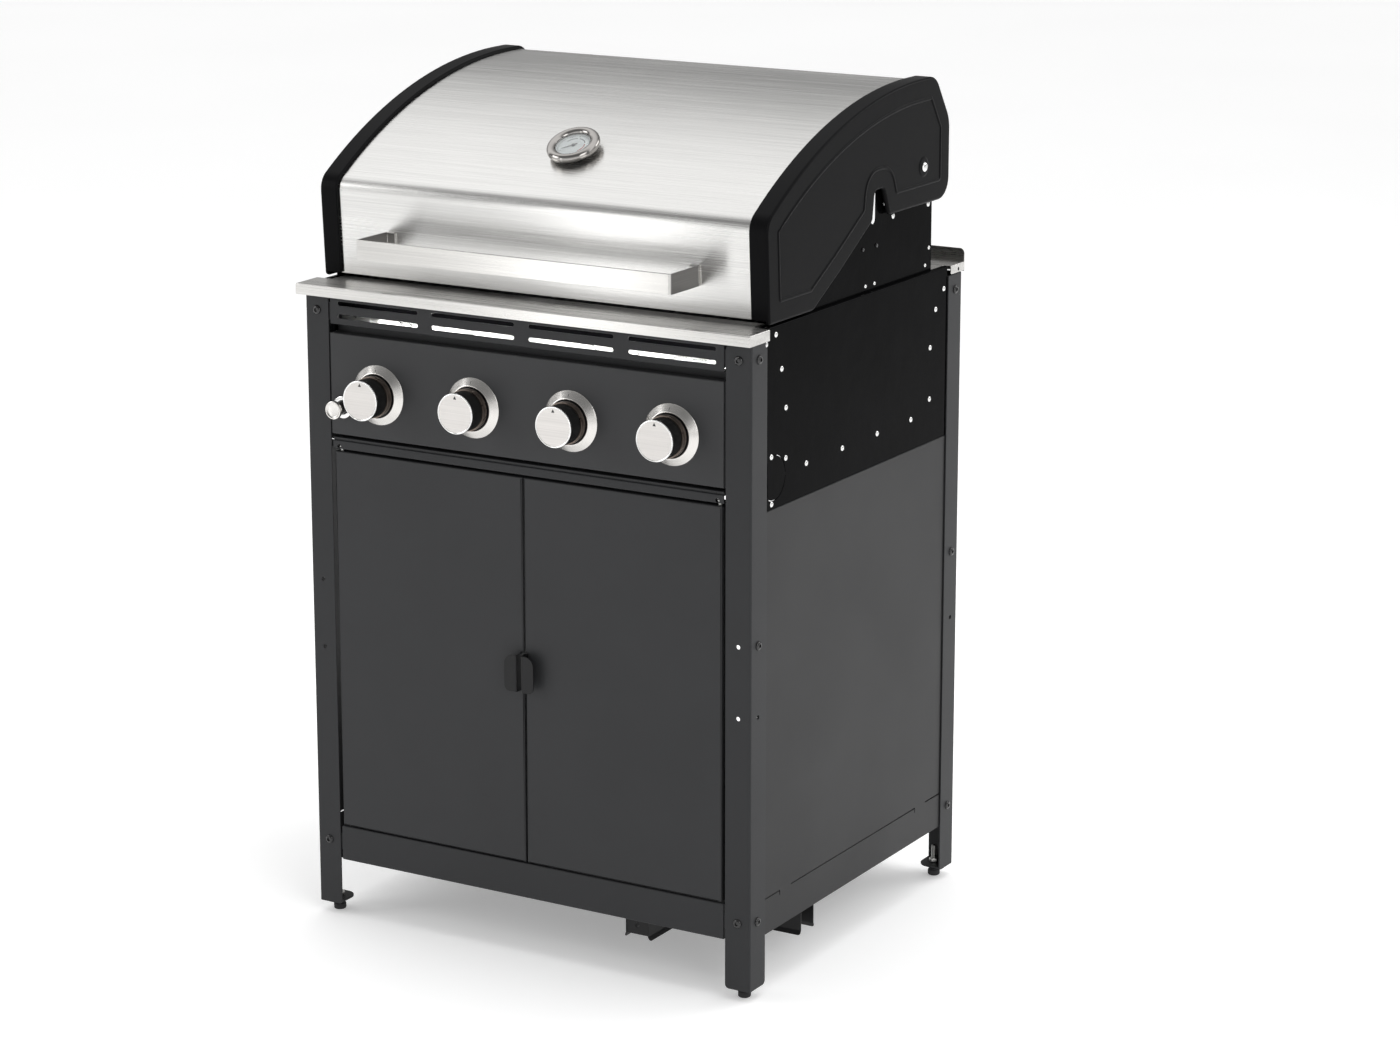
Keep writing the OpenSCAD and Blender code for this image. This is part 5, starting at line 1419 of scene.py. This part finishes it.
FINISH = {
    "firebox_back": GLOSS, "firebox_floor": GLOSS, "manifold": PIPE, "gas_valves": BRASS,
    "grease_tray": TRAY_STEEL, "grease_cup": TRAY_STEEL,
}
for name, mat in FINISH.items():
    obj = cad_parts[name]
    obj.data.materials.clear()
    obj.data.materials.append(mat)
    weld = obj.modifiers.new("weld", "WELD")
    weld.merge_threshold = 0.00002
    soften = obj.modifiers.new("edges", "BEVEL")
    soften.width = 0.0004
    soften.segments = 2
    soften.limit_method = "ANGLE"
    soften.angle_limit = math.radians(40)
    soften.harden_normals = True


# ------------------------------------------------------------------ stage and light

def stage_floor():
    n = Nodes("studio_floor")
    cloud = n.noise(0.9, 3.0, 0.5)
    grain = n.noise(240, 3.0, 0.6)
    n.set(Base_Color=n.mix(n.remap(cloud, 0, 1), (0.86, 0.86, 0.86), (0.88, 0.88, 0.88)), Roughness=0.6)
    n.set(Normal=n.bump(grain, 0.0002, 0.08), Specular_IOR_Level=0.2, Emission_Color=(1, 1, 1), Emission_Strength=0.3)
    mesh = bpy.data.meshes.new("floor")
    count, radii = 96, (0.6, 1.2, 2.5, 5, 10, 20, 40)
    corners = [2 * math.pi * k / count for k in range(count)]
    verts, faces = [(0, 0, 0)] + [(r * math.cos(g), r * math.sin(g), 0) for r in radii for g in corners], []
    for k in range(count):
        j = (k + 1) % count
        faces.append([0, 1 + k, 1 + j])
        for a in range(1, 1 + count * (len(radii) - 1), count):
            faces.append([a + k, a + count + k, a + count + j, a + j])
    mesh.from_pydata(verts, [], faces)
    mesh.materials.append(n.mat)
    obj = bpy.data.objects.new("floor", mesh)
    bpy.context.scene.collection.objects.link(obj)
    obj.location.z = -0.0004


def softbox(name, place, target, size, power, glossy=True):
    """A rectangular light that points at target. glossy says whether shiny surfaces mirror it."""
    light = bpy.data.lights.new(name, "AREA")
    light.shape = "RECTANGLE"
    light.size, light.size_y = size
    light.energy = power
    obj = bpy.data.objects.new(name, light)
    bpy.context.scene.collection.objects.link(obj)
    obj.location = place
    obj.rotation_mode = "QUATERNION"
    obj.rotation_quaternion = (Vector(target) - Vector(place)).to_track_quat("-Z", "Y")
    obj.visible_camera = False
    obj.visible_glossy = glossy


def studio_sky(stops, strength, seen):
    """A grey sky whose stops are (degrees from the front horizon, over the top, to the back; brightness).

    The camera sees a plain one instead."""
    world = bpy.data.worlds.new("studio")
    bpy.context.scene.world = world
    world.use_nodes = True
    t = Tree(world.node_tree)
    background, output = t.tree.nodes["Background"], t.tree.nodes["World Output"]
    split = t.new("ShaderNodeSeparateXYZ")
    t.link(t.new("ShaderNodeTexCoord").outputs["Generated"], split.inputs[0])
    angle = t.math("ARCTAN2", split.outputs["Z"], t.math("MULTIPLY", split.outputs["Y"], -1))
    ramp = t.new("ShaderNodeValToRGB")
    ramp.color_ramp.interpolation = "B_SPLINE"
    elements = ramp.color_ramp.elements
    while len(elements) > 1:
        elements.remove(elements[-1])
    for k, (g, value) in enumerate(stops):
        e = elements[0] if k == 0 else elements.new(g / 180)
        e.position = g / 180
        e.color = (value / strength,) * 3 + (1,)
    t.link(t.remap(angle, 0, 1, 0, math.pi), ramp.inputs["Fac"])
    background.inputs["Strength"].default_value = strength
    t.link(ramp.outputs["Color"], background.inputs["Color"])
    backdrop = t.new("ShaderNodeBackground")
    backdrop.inputs["Color"].default_value = (seen, seen, seen, 1)
    pick = t.new("ShaderNodeMixShader")
    sources = t.new("ShaderNodeLightPath").outputs["Is Camera Ray"], background.outputs[0], backdrop.outputs[0]
    for socket, source in zip(pick.inputs, sources):
        t.link(source, socket)
    t.link(pick.outputs[0], output.inputs["Surface"])


stage_floor()
studio_sky([(0, 0.95), (8, 0.75), (18, 0.35), (28, 0.2), (60, 0.2), (74, 0.8), (88, 1.4), (106, 1.4), (122, 1.25),
            (138, 0.62), (152, 0.22), (170, 0.2), (176, 0.5), (180, 0.9)], 1.4, 0.93)
softbox("top", (0.3, 0.4, 3.8), (0, 0.2, 0.8), (3.4, 2.0), 42, glossy=False)
softbox("strip", (-1.28, -2.5, 0.95), (0.12, -0.25, 0.95), (0.22, 1.7), 2.2)
softbox("key_right", (3.6, -2.6, 2.4), (0, 0, 0.6), (2.0, 2.4), 40)
softbox("fill_front_left", (-3.4, -2.6, 2.2), (0, 0, 0.6), (1.8, 2.2), 40)
softbox("rim_back", (2.6, 3.2, 2.6), (0, 0, 0.9), (2.4, 1.6), 36)
softbox("vent_glow", metres((0, -262, 845)), metres((0, WALL_FRONT, 868)), (0.62, 0.014), 1.6)
bpy.context.scene.view_settings.view_transform = "Standard"
